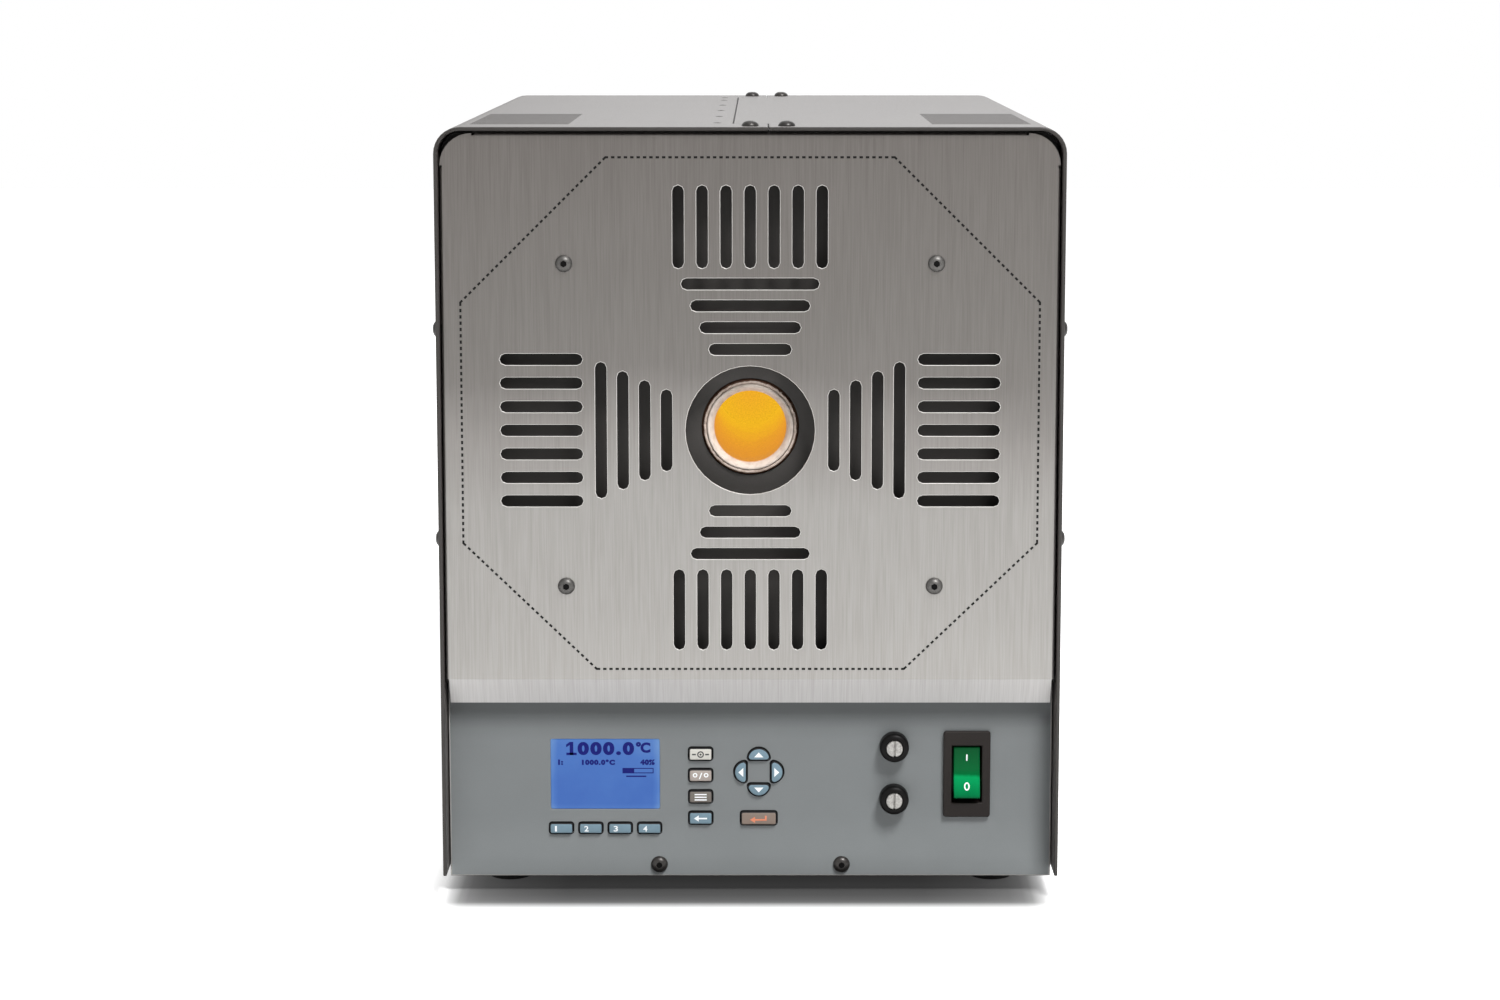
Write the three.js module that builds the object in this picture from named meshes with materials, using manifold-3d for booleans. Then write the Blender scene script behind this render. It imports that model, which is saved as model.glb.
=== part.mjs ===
// Thermocouple calibration furnace: a bench instrument with a horizontal ceramic tube that is heated all
// round, behind a slotted stainless shield, and its controls on a painted panel below the shield.
// Millimetres. X runs to the right as seen from the front, the front faces -Y and Z is up. The origin lies
// on the bench, under the middle of the case.
import * as THREE from "three";
import { mergeVertices } from "three/addons/utils/BufferGeometryUtils.js";
import Module from "manifold-3d";

const wasm = await Module();
wasm.setup();

// Clearances and counts that every piece shares
const seatGap = 0.3;
const overrun = 5;
const weldDistance = 0.001;
const roundSteps = 28;
const largeRoundSteps = 40;
const smallRoundSteps = 14;
const cornerSteps = 4;
const slotEndSteps = 4;

// Case and covers
const caseWidth = 344;
const caseDepth = 500;
const coverHeight = 418;
const coverSheet = 2;
const coverCornerRadius = 14.5;
const coverLift = 4.5;
const chassisSheet = 1.5;
const chassisSideClearance = 0.6;
const chassisFlangeHeight = 24;
const seamX = -9.5;
const tabSeamX = 10;
const tabDepth = 43;
const seamStripWidth = 44;
const seamStripSheet = 1.5;

// Vent patches in the top
const ventInnerX = 101;
const ventOuterX = 155;
const ventFrontDepth = 36;
const ventBackDepth = 174;
const ventSlotWidth = 2;
const ventPitch = 5.3;

// Feet
const footHeight = 10.5;
const footTopRadius = 15;
const footBottomRadius = 12;
const footBoltRadius = 4.5;
const footBoltDepth = 6;
const footInsetX = 34;
const footInsetY = 52;

// Screws
const coverScrewInset = 14.5;
const topScrewXs = [0, 20];
const sideScrewDrops = [111.5, 228.5];
const screwHeadRadius = 4.75;
const screwHeadHeight = 2.75;
const screwShankRadius = 2.4;
const screwHexRadius = 1.7;
const screwHexDepth = 1.6;
const screwHoleClearance = 0.35;
const coverScrewLength = 8;
const shieldScrewLength = 12;
const screwCrownShare = 0.45;
const screwShoulderShare = 0.75;
const screwShoulderRiseShare = 0.62;

// Front shield, whose screws and slots are drawn for a case of patternWidth and a sheet of patternHeight
const patternWidth = 344;
const patternHeight = 302.7;
const shieldRecess = 3;
const shieldSheet = 1.2;
const shieldTopGap = 1.4;
const shieldSideGap = 1.1;
const shieldCornerRadius = 17.4;
const shieldFoldRadius = 1.6;
const shieldFlangeClearance = 0.6;
const shieldNotchWidth = 1.5;
const shieldNotchDepth = 1.3;
const shieldLipDepth = 8;
const shieldLipDrop = 15;
const shieldLipSideGap = 0.4;
const shieldHoleRadius = 35.6;
const shieldScrewX = 101.8;
const shieldScrewRise = 92;
const shieldScrewFall = 87;
const standoffRadius = 5;

// Slots of the shields: two columns of like slots stand above and below the hole, and rows whose length
// grows away from the hole lie between
const slotWidth = 6.3;
const slotLength = 45.5;
const slotPitch = 13.1;
const slotCount = 7;
const upperColumnRise = 112;
const lowerColumnFall = 100.3;
const sideRowX = 114.7;
const upperRowStart = 44.8;
const rowPitch = 12;
const rowGrowth = 10.1;
const upperRowCount = 4;
const lowerRowCount = 3;
const sideColumnStart = 46;
const sideColumnCount = 4;

// Front bulkhead, rear panel and shelf
const bulkheadLap = 10;
const bulkheadFlangeDepth = 10.4;
const flangeCornerRelief = 6;
const tubeHoleClearance = 0.9;
const shelfDrop = 4;
const saddleThickness = 3;
const saddleSpacing = 240;
const saddleWidth = 150;
const saddleHeight = 62;

// Furnace tube and what lies round it
const tubeRise = 139.7;
const tubeBoreRadius = 20;
const tubeWall = 4;
const tubeMouthRecess = 16;
const collarWall = 1.9;
const collarMouthRecess = 16.7;
const collarFlangeRadius = 60;
const collarThickness = 25;
const heaterGap = 3;
const heaterWall = 15;
const heaterEndGap = 24.5;
const heaterGrooveWidth = 8;
const heaterGrooveDepth = 5;
const heaterGrooveCount = 9;
const insulationWall = 76;
const blockLength = 160;
const probeRadius = 1.5;
const probeHoleClearance = 0.6;
const probeHeadRadius = 10;
const probeHeadHeight = 14;

// Rear shield
const rearShieldSide = 200;
const rearShieldCornerRadius = 12;
const rearShieldFlangeDepth = 8;
const rearColumnStart = 46;
const rearRowCount = 3;
const rearSlotLength = 52;
const rearSlotGrowth = 14;
const rearScrewOffset = 84;

// Control panel
const controlBandHeight = 116.4;
const panelSheet = 1.5;
const panelSetback = 4.4;
const panelTopLap = 3.2;
const panelBottomFlange = 12;
const panelSideFlange = 10;
const panelScrewX = 51.4;
const panelScrewHeight = 6.8;
const panelScrewHoleRadius = 1.9;

// Display
const displayWidth = 61.4;
const displayHeight = 40.5;
const displaySpotX = -81.7;
const displayY = 58.9;
const windowClearance = 0.3;
const windowRecess = 0.6;
const windowPane = 1.2;
const windowRim = 2;
const windowRimThickness = 1;

// Keys
const keyProud = 2;
const keyTravel = 1;
const keyClearance = 0.55;
const keyRim = 1.2;
const keyRimThickness = 1.2;
const keyCornerRadius = 1.1;
const functionKeyWidth = 12.6;
const functionKeyHeight = 5.6;
const functionKeyCount = 4;
const functionKeyPitch = 16.55;
const functionKeyY = 27.9;
const columnKeyWidth = 12.6;
const columnKeyHeight = 6.6;
const columnKeyNames = ["key_setpoint", "key_units", "key_menu", "key_exit"];
const columnKeyPitch = 12.3;
const columnKeyOffset = 53.7;
const columnKeyTopY = 70.7;
const enterKeyWidth = 19.6;
const enterKeyHeight = 7.1;
const enterKeyOffset = 86.4;
const enterKeyY = 33.7;
const arrowPadOffset = 86.4;
const arrowPadY = 60.4;
const arrowPadRadius = 10.3;
const arrowKeyLength = 11.8;
const arrowKeyWidth = 6.5;
const arrowKeyRim = 0.5;
const arrowKeyNames = ["key_right", "key_up", "key_left", "key_down"];

// Panel board behind the display and the keys
const boardSheet = 1.6;
const boardKeyGap = 0.4;
const boardMargin = 10;
const boardPostRadius = 2.5;
const boardPostInset = 3.5;
const displayModuleMargin = 4;

// Fuse holders
const fuseSpotX = 80.7;
const fuseUpperY = 75.4;
const fuseSpacing = 30;
const fuseBezelRadius = 8.2;
const fuseBezelProud = 8.4;
const fuseBarrelRadius = 6.3;
const fuseCapRadius = 4.5;
const fuseCapLength = 8;
const fuseCapProud = 0.6;
const fuseSlotWidth = 1.2;
const fuseSlotDepth = 1.6;
const fuseLinkRadius = 2.6;
const fuseLinkWaist = 0.35;
const fuseLinkLength = 20;
const fuseLinkEnd = 5;
const fuseClearance = 0.3;
const fuseBarrelWall = 1.5;

// Power switch
const switchSpotX = 121.6;
const switchY = 59.4;
const switchBezelWidth = 26.3;
const switchBezelHeight = 49.4;
const switchBezelProud = 2.2;
const switchBezelRadius = 1.5;
const switchBodyWidth = 21.5;
const switchBodyHeight = 43.5;
const switchBodyDepth = 24;
const switchCutClearance = 0.4;
const switchMouthWidth = 17;
const switchMouthHeight = 32.6;
const switchFloor = 3;
const rockerWidth = 14.6;
const rockerHalfHeight = 14.2;
const rockerPivotDepth = 6;
const rockerCrest = 1;
const rockerDip = 0.8;
const rockerKeelDepth = 9;
const rockerKeelHalfHeight = 8;
const rockerTiltDegrees = 10;
const rockerPinRadius = 1.6;

// Electronics on the pan
const controllerWidth = 120;
const controllerDepth = 130;
const controllerInset = 77;
const controllerSetback = 34;
const controllerPost = 8;
const transformerWidth = 46;
const transformerDepth = 42;
const transformerHeight = 38;
const capacitorRadius = 11;
const capacitorHeight = 32;
const terminalWidth = 70;
const terminalDepth = 10;
const terminalHeight = 12;
const relayWidth = 100;
const relayDepth = 90;
const relayX = -10;
const relayY = 90;
const relayBase = 8;
const relayFinHeight = 22;
const relayFinThickness = 3;
const relayFinCount = 9;
const relayBlockWidth = 45;
const relayBlockDepth = 58;
const relayBlockHeight = 23;

// Fan
const fanSide = 80;
const fanThickness = 25;
const fanInset = 77;
const fanY = 66;
const fanBoreRadius = 38.4;
const fanCornerRadius = 5;
const fanStrutWidth = 4;
const fanStrutCount = 4;
const fanHubPlate = 3;
const fanHubRadius = 16;
const fanRunningGap = 0.6;
const fanBladeCount = 7;
const fanBladeThickness = 1.5;
const fanBladeChord = 20;
const fanBladePitchDegrees = 42;
const fanTipClearance = 1.4;
const grilleRadius = 37;
const grilleSlotWidth = 4.4;
const grillePitch = 7.4;
const grilleSlotPairs = 5;

// Mains inlet
const inletInset = 67;
const inletY = 60;
const inletFlangeWidth = 50;
const inletFlangeHeight = 24;
const inletFlangeThickness = 2;
const inletBodyWidth = 27.4;
const inletBodyHeight = 20;
const inletBodyDepth = 22;
const inletSocketWidth = 24.4;
const inletSocketHeight = 16.8;
const inletSocketDepth = 17;
const inletCutClearance = 0.4;
const pinLength = 15;
const pinWidth = 2;
const pinHeight = 4;
const pinSpacing = 14;
const pinDrop = 2.5;
const earthPinRise = 3.2;

// Places that follow from the sizes above
const halfInside = caseWidth / 2 - coverSheet;
const chassisHalfWidth = halfInside - chassisSideClearance;
const panUnderside = footHeight + seatGap;
const panTop = panUnderside + chassisSheet;
const panelBottom = panUnderside - seatGap - panelSheet;
const coverBottom = panelBottom + coverLift;
const coverTop = coverBottom + coverHeight;
const insideTop = coverTop - coverSheet;
const chassisTop = insideTop - seatGap;
const shieldTop = insideTop - shieldTopGap;
const shieldBend = panelBottom + controlBandHeight;
const shieldHeight = shieldTop - shieldBend;
const widthScale = caseWidth / patternWidth;
const heightScale = shieldHeight / patternHeight;
const roundScale = Math.min(widthScale, heightScale);
const tubeHeight = shieldBend + tubeRise * heightScale;
const shieldHalfWidth = halfInside - shieldSideGap;
const panelRecess = shieldRecess + shieldLipDepth + shieldSheet + panelSetback;
const panelBack = panelRecess + panelSheet;
const panelTop = shieldBend - panelTopLap;
const bulkheadRecess = panelBack + seatGap;
const bulkheadBack = bulkheadRecess + chassisSheet;
const wallFlangeFront = bulkheadRecess - bulkheadFlangeDepth;
const bulkheadBottom = panelTop - bulkheadLap;
const bulkheadCornerRadius = coverCornerRadius - coverSheet - seatGap;
const shelfTop = panelTop - shelfDrop;
const tubeOuterRadius = tubeBoreRadius + tubeWall;
const collarBoreRadius = tubeOuterRadius + seatGap;
const collarRadius = collarBoreRadius + collarWall;
const tubeHoleRadius = collarRadius + tubeHoleClearance;
const collarBack = bulkheadBack + seatGap + collarThickness;
const insulationHalfLength = caseDepth / 2 - collarBack - seatGap;
const heaterBoreRadius = tubeOuterRadius + heaterGap;
const heaterRadius = heaterBoreRadius + heaterWall;
const insulationBoreRadius = heaterRadius + seatGap;
const insulationRadius = insulationBoreRadius + insulationWall * roundScale;
const heaterLength = 2 * (insulationHalfLength - heaterEndGap);
const tubeHalfLength = caseDepth / 2 - tubeMouthRecess;
const saddleRadius = insulationRadius + seatGap;
const screwHoleRadius = screwShankRadius + screwHoleClearance;
const keyRimFront = panelBack + seatGap;
const keyBack = keyRimFront + keyRimThickness;
const boardFront = keyBack + keyTravel + boardKeyGap;
const windowRimFront = panelRecess + windowRecess + windowPane;
const windowBack = windowRimFront + windowRimThickness;
const displayX = displaySpotX * widthScale;
const columnKeyX = displayX + columnKeyOffset;
const enterKeyX = displayX + enterKeyOffset;
const arrowPadX = displayX + arrowPadOffset;
const fuseX = fuseSpotX * widthScale;
const switchX = switchSpotX * widthScale;
const controllerX = controllerInset - caseWidth / 2;
const fanX = caseWidth / 2 - fanInset;
const inletX = inletInset - caseWidth / 2;
const rockerPivotRecess = panelRecess - seatGap - switchBezelProud + rockerPivotDepth;

// Materials, coloured as the real finishes are
function finish(color, roughness, metalness) {
  return new THREE.MeshStandardMaterial({ color, roughness, metalness });
}
const finishes = {
  coverPaint: finish(0x565351, 0.5, 0.1),
  shieldSteel: finish(0xaaa6a0, 0.35, 0.9),
  darkPaint: finish(0x444240, 0.7, 0.1),
  panelPaint: finish(0x838889, 0.6, 0.1),
  zincSteel: finish(0xa8abac, 0.4, 0.8),
  screwBlack: finish(0x1c1c1e, 0.4, 0.5),
  screwSteel: finish(0x8c8c8c, 0.3, 0.9),
  rubber: finish(0x1a1a1a, 0.9, 0),
  tubeCeramic: finish(0xf0ddcc, 0.8, 0),
  packing: finish(0xcfc0b2, 0.9, 0),
  fibre: finish(0xe8e4da, 0.95, 0),
  glow: finish(0xf6b428, 0.8, 0),
  windowGlass: finish(0x7fa8e0, 0.1, 0),
  boardGreen: finish(0x1f5a3a, 0.6, 0),
  blueKey: finish(0x6f8ea6, 0.6, 0),
  whiteKey: finish(0xe8e6e0, 0.6, 0),
  lightTaupeKey: finish(0xb7a8a0, 0.6, 0),
  darkTaupeKey: finish(0x7d736b, 0.6, 0),
  brownKey: finish(0x857a72, 0.6, 0),
  blackPlastic: finish(0x201c1a, 0.5, 0),
  greenRocker: finish(0x3fae5a, 0.3, 0),
  fuseCapMetal: finish(0xd0d0cc, 0.35, 0.6),
  fuseGlass: finish(0xd8dcd8, 0.1, 0.1),
  aluminium: finish(0xb4b6b8, 0.45, 0.8),
};

// Solids: three.js makes each shape, and manifold-3d only joins and cuts them
function solidOf(geometry) {
  const bare = geometry.clone();
  bare.deleteAttribute("normal");
  bare.deleteAttribute("uv");
  const merged = mergeVertices(bare, weldDistance);
  const mesh = new wasm.Mesh({
    numProp: 3,
    vertProperties: merged.attributes.position.array,
    triVerts: new Uint32Array(merged.index.array),
  });
  return new wasm.Manifold(mesh);
}

function meshOf(name, material, solid) {
  const made = solid.getMesh();
  const geometry = new THREE.BufferGeometry();
  geometry.setAttribute("position", new THREE.BufferAttribute(made.vertProperties, 3));
  geometry.setIndex(new THREE.BufferAttribute(made.triVerts, 1));
  geometry.computeVertexNormals();
  const mesh = new THREE.Mesh(geometry, material);
  mesh.name = name;
  return mesh;
}

function joined(solids) {
  return solids.reduce((whole, piece) => whole.add(piece));
}

function cut(solid, tools) {
  return tools.reduce((left, tool) => left.subtract(tool), solid);
}

// A box between two corners
function box(low, high) {
  const size = high.map((value, axis) => value - low[axis]);
  const geometry = new THREE.BoxGeometry(...size);
  geometry.translate(...low.map((value, axis) => value + size[axis] / 2));
  return solidOf(geometry);
}

// Points of an arc, both ends included
function arc(centreX, centreY, radius, fromAngle, toAngle, steps) {
  return Array.from({ length: steps + 1 }, (_, step) => {
    const angle = fromAngle + ((toAngle - fromAngle) * step) / steps;
    return [centreX + radius * Math.cos(angle), centreY + radius * Math.sin(angle)];
  });
}

const quarter = Math.PI / 2;
const half = Math.PI;

function roundedRectangle(centreX, centreY, width, height, radius) {
  const right = width / 2 - radius;
  const top = height / 2 - radius;
  return [
    ...arc(centreX + right, centreY + top, radius, 0, quarter, cornerSteps),
    ...arc(centreX - right, centreY + top, radius, quarter, half, cornerSteps),
    ...arc(centreX - right, centreY - top, radius, half, half + quarter, cornerSteps),
    ...arc(centreX + right, centreY - top, radius, half + quarter, half + half, cornerSteps),
  ];
}

function rectangle(left, bottom, right, top) {
  return [
    [left, bottom],
    [right, bottom],
    [right, top],
    [left, top],
  ];
}

function circle(centreX, centreY, radius, steps) {
  return arc(centreX, centreY, radius, 0, half + half, steps).slice(0, steps);
}

function uprightSlot(centreX, centreY, length, width) {
  const reach = (length - width) / 2;
  return [
    ...arc(centreX, centreY + reach, width / 2, 0, half, slotEndSteps),
    ...arc(centreX, centreY - reach, width / 2, half, half + half, slotEndSteps),
  ];
}

function levelSlot(centreX, centreY, length, width) {
  const reach = (length - width) / 2;
  return [
    ...arc(centreX + reach, centreY, width / 2, -quarter, quarter, slotEndSteps),
    ...arc(centreX - reach, centreY, width / 2, quarter, half + quarter, slotEndSteps),
  ];
}

const vectors = (points) => points.map(([x, y]) => new THREE.Vector2(x, y));

// A sheet with holes, drawn as its front is seen and lying between two depths behind the case's front rim
function sheet(outline, holes, frontDepth, backDepth) {
  const shape = new THREE.Shape(vectors(outline));
  shape.holes = holes.map((hole) => new THREE.Path(vectors(hole)));
  const geometry = new THREE.ExtrudeGeometry(shape, { depth: backDepth - frontDepth, bevelEnabled: false });
  geometry.translate(0, 0, -backDepth);
  return solidOf(geometry);
}

// A solid whose side view is drawn as depth and height points and that runs from one x to another
function sideView(outline, fromX, toX) {
  const shape = new THREE.Shape(vectors(outline));
  const geometry = new THREE.ExtrudeGeometry(shape, { depth: toX - fromX, bevelEnabled: false });
  geometry.rotateY(quarter);
  geometry.translate(fromX, 0, 0);
  return solidOf(geometry);
}

// A solid whose plan is drawn as x and depth points and that runs from one height to another
function planView(outline, fromY, toY) {
  const shape = new THREE.Shape(vectors(outline));
  const geometry = new THREE.ExtrudeGeometry(shape, { depth: toY - fromY, bevelEnabled: false });
  geometry.rotateX(-quarter);
  geometry.translate(0, fromY, 0);
  return solidOf(geometry);
}

// A turned solid whose profile is drawn as radius and depth points, its axis along the view
function turned(profile, centreX, centreY, steps) {
  const outward = profile.map(([radius, depth]) => new THREE.Vector2(radius, -depth));
  const geometry = new THREE.LatheGeometry([...outward, outward[0]], steps);
  geometry.rotateX(quarter);
  geometry.translate(centreX, centreY, 0);
  return rightSideOut(geometry);
}

// A turned solid whose profile is drawn as radius and length points along Y
function turnedAlongY(profile, steps) {
  return rightSideOut(new THREE.LatheGeometry(vectors([...profile, profile[0]]), steps));
}

// A turned solid that stands on Z
function turnedUpright(profile, steps) {
  const geometry = new THREE.LatheGeometry(vectors([...profile, profile[0]]), steps);
  geometry.rotateX(quarter);
  return rightSideOut(geometry);
}

// A profile drawn in either sense gives faces that point out
function rightSideOut(geometry) {
  const solid = solidOf(geometry);
  if (solid.volume() > 0) return solid;
  const index = geometry.index.array;
  for (let first = 0; first < index.length; first += 3) {
    const kept = index[first];
    index[first] = index[first + 1];
    index[first + 1] = kept;
  }
  return solidOf(geometry);
}

// Button-head screw, its axis upright and its head's underside at zero
function screwSolid(length) {
  const crown = screwHeadRadius * screwCrownShare;
  const profile = [
    [0, -length],
    [screwShankRadius, -length],
    [screwShankRadius, 0],
    [screwHeadRadius, 0],
    [crown + (screwHeadRadius - crown) * screwShoulderShare, screwHeadHeight * screwShoulderRiseShare],
    [crown, screwHeadHeight],
    [0, screwHeadHeight],
  ];
  const hexagon = new THREE.CylinderGeometry(screwHexRadius, screwHexRadius, screwHexDepth + overrun, 6);
  hexagon.rotateX(quarter);
  hexagon.translate(0, 0, screwHeadHeight - screwHexDepth + (screwHexDepth + overrun) / 2);
  return turnedUpright(profile, smallRoundSteps).subtract(solidOf(hexagon));
}

const model = new THREE.Group();

// What faces forward is built as it is seen from the front: x to the right, y up from the bench and z
// towards the viewer, with zero at the covers' front rim. What faces back is built alike from behind.
const front = new THREE.Group();
front.rotation.x = quarter;
front.position.y = -caseDepth / 2;
const rearTurn = new THREE.Group();
rearTurn.rotation.z = half;
const rear = new THREE.Group();
rear.rotation.x = quarter;
rear.position.y = -caseDepth / 2;
rearTurn.add(rear);
model.add(front, rearTurn);

// Base chassis: a pan that the feet, the panels and the electronics stand on
{
  const endInset = bulkheadRecess + chassisSheet;
  const y = caseDepth / 2 - endInset;
  const floor = box([-chassisHalfWidth, -y, panUnderside], [chassisHalfWidth, y, panTop]);
  const flangeTop = panUnderside + chassisFlangeHeight;
  const sides = [-1, 1].map((side) => {
    const inner = side * (chassisHalfWidth - chassisSheet);
    const outer = side * chassisHalfWidth;
    return box([Math.min(inner, outer), -y, panUnderside], [Math.max(inner, outer), y, flangeTop]);
  });
  model.add(meshOf("base_chassis", finishes.zincSteel, joined([floor, ...sides])));
}

// Feet: rubber, each with a recess for its bolt
{
  const footX = caseWidth / 2 - footInsetX;
  const footY = caseDepth / 2 - footInsetY;
  const profile = [
    [footBoltRadius, 0],
    [footBottomRadius, 0],
    [footTopRadius, footHeight],
    [0, footHeight],
    [0, footBoltDepth],
    [footBoltRadius, footBoltDepth],
  ];
  const places = { front_left: [-1, -1], front_right: [1, -1], rear_left: [-1, 1], rear_right: [1, 1] };
  Object.entries(places).forEach(([place, [sideX, sideY]]) => {
    const foot = meshOf("foot_" + place, finishes.rubber, turnedUpright(profile, roundSteps));
    foot.position.set(sideX * footX, sideY * footY, 0);
    model.add(foot);
  });
}

// Covers: each is a side wall that turns over the top. The seam runs left of the middle, and at the front
// and back the left cover has a tab that reaches to the right of it.
function coverSolid(side, edgeX) {
  const outerX = caseWidth / 2;
  const arcX = outerX - coverCornerRadius;
  const arcY = coverTop - coverCornerRadius;
  const profile = [
    [side * edgeX, insideTop],
    ...arc(arcX, arcY, coverCornerRadius - coverSheet, quarter, 0, cornerSteps * 2),
    [outerX - coverSheet, coverBottom],
    [outerX, coverBottom],
    ...arc(arcX, arcY, coverCornerRadius, 0, quarter, cornerSteps * 2),
    [side * edgeX, coverTop],
  ];
  const seen = profile.map(([x, y]) => [side * x, y]);
  const body = sheet(seen, [], 0, caseDepth);
  const ventRows = Math.floor((ventBackDepth - ventFrontDepth) / ventPitch) + 1;
  const vents = Array.from({ length: ventRows }, (_, row) => {
    const depth = ventFrontDepth + row * ventPitch;
    const inner = side * ventInnerX;
    const outer = side * ventOuterX;
    return box(
      [Math.min(inner, outer), insideTop - overrun, -depth - ventSlotWidth],
      [Math.max(inner, outer), coverTop + overrun, -depth],
    );
  });
  return cut(body, vents);
}

function coverScrewHoles(side, topX) {
  const length = coverSheet + overrun + overrun;
  const depths = [coverScrewInset, caseDepth - coverScrewInset];
  return depths.flatMap((depth) => {
    const down = new THREE.CylinderGeometry(screwHoleRadius, screwHoleRadius, length, smallRoundSteps);
    down.translate(topX, coverTop, -depth);
    const across = sideScrewDrops.map((drop) => {
      const hole = new THREE.CylinderGeometry(screwHoleRadius, screwHoleRadius, length, smallRoundSteps);
      hole.rotateZ(quarter);
      hole.translate((side * caseWidth) / 2, coverTop - drop, -depth);
      return solidOf(hole);
    });
    return [solidOf(down), ...across];
  });
}

// A space across the top's sheet, between two places along X and two depths
function topSpace(fromX, toX, fromDepth, toDepth) {
  return box([fromX, insideTop - overrun, -toDepth], [toX, coverTop + overrun, -fromDepth]);
}

{
  const halfGap = seatGap / 2;
  const backTab = caseDepth - tabDepth;
  const beside = topSpace(seamX - halfGap, tabSeamX + overrun, tabDepth - halfGap, backTab + halfGap);
  const leftHoles = coverScrewHoles(-1, topScrewXs[0]);
  const left = cut(coverSolid(-1, tabSeamX - halfGap), [beside, ...leftHoles]);
  front.add(meshOf("left_cover", finishes.coverPaint, left));
  const frontTab = topSpace(seamX - overrun, tabSeamX + halfGap, -overrun, tabDepth + halfGap);
  const rearTab = topSpace(seamX - overrun, tabSeamX + halfGap, backTab - halfGap, caseDepth + overrun);
  const rightHoles = coverScrewHoles(1, topScrewXs[1]);
  const right = cut(coverSolid(1, seamX + halfGap), [frontTab, rearTab, ...rightHoles]);
  front.add(meshOf("right_cover", finishes.coverPaint, right));
}

// Seam strip: riveted under the left cover, it carries the right cover's edge
{
  const stripEnd = bulkheadBack + seatGap;
  const strip = box(
    [seamX - seamStripWidth / 2, chassisTop - seamStripSheet, stripEnd - caseDepth],
    [seamX + seamStripWidth / 2, chassisTop, -stripEnd],
  );
  front.add(meshOf("seam_strip", finishes.zincSteel, strip));
}

// Bulkhead and rear panel: upright walls whose top and side flanges point out of the case, to take the
// covers' screws, with standoffs that carry the shields
function wallOutline(bottom) {
  const right = chassisHalfWidth - bulkheadCornerRadius;
  const top = chassisTop - bulkheadCornerRadius;
  return [
    [chassisHalfWidth, bottom],
    ...arc(right, top, bulkheadCornerRadius, 0, quarter, cornerSteps),
    ...arc(-right, top, bulkheadCornerRadius, quarter, half, cornerSteps),
    [-chassisHalfWidth, bottom],
  ];
}

function wallFlanges(bottom) {
  const outerZ = -wallFlangeFront;
  const sideTop = chassisTop - bulkheadCornerRadius - flangeCornerRelief;
  const topHalf = chassisHalfWidth - bulkheadCornerRadius - flangeCornerRelief;
  const reach = chassisHalfWidth - chassisSheet;
  return joined([
    box([-topHalf, chassisTop - chassisSheet, -bulkheadBack], [topHalf, chassisTop, outerZ]),
    box([-chassisHalfWidth, bottom, -bulkheadBack], [-reach, sideTop, outerZ]),
    box([reach, bottom, -bulkheadBack], [chassisHalfWidth, sideTop, outerZ]),
  ]);
}

function flangeScrewHoles(topXs) {
  const length = overrun + overrun + chassisSheet;
  const top = topXs.map((x) => {
    const hole = new THREE.CylinderGeometry(screwHoleRadius, screwHoleRadius, length, smallRoundSteps);
    hole.translate(x, chassisTop, -coverScrewInset);
    return solidOf(hole);
  });
  const sides = [-1, 1].flatMap((side) =>
    sideScrewDrops.map((drop) => {
      const hole = new THREE.CylinderGeometry(screwHoleRadius, screwHoleRadius, length, smallRoundSteps);
      hole.rotateZ(quarter);
      hole.translate(side * chassisHalfWidth, coverTop - drop, -coverScrewInset);
      return solidOf(hole);
    }),
  );
  return [...top, ...sides];
}

function standoffs(places) {
  const frontDepth = shieldRecess + shieldSheet + seatGap;
  return joined(
    places.map(([x, y]) =>
      turned(
        [
          [screwHoleRadius, bulkheadBack],
          [standoffRadius, bulkheadBack],
          [standoffRadius, frontDepth],
          [screwHoleRadius, frontDepth],
        ],
        x,
        y,
        smallRoundSteps,
      ),
    ),
  );
}

const shieldScrewPlaces = [
  [-shieldScrewX, shieldScrewRise],
  [shieldScrewX, shieldScrewRise],
  [-shieldScrewX, -shieldScrewFall],
  [shieldScrewX, -shieldScrewFall],
].map(([x, rise]) => [x * widthScale, tubeHeight + rise * heightScale]);
const tubeHole = circle(0, tubeHeight, tubeHoleRadius, largeRoundSteps);

{
  const screwHoles = shieldScrewPlaces.map(([x, y]) => circle(x, y, screwHoleRadius, smallRoundSteps));
  const plate = sheet(wallOutline(bulkheadBottom), [tubeHole, ...screwHoles], bulkheadRecess, bulkheadBack);
  const whole = joined([plate, wallFlanges(panelTop + seatGap), standoffs(shieldScrewPlaces)]);
  front.add(meshOf("front_bulkhead", finishes.darkPaint, cut(whole, flangeScrewHoles(topScrewXs))));
}

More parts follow.
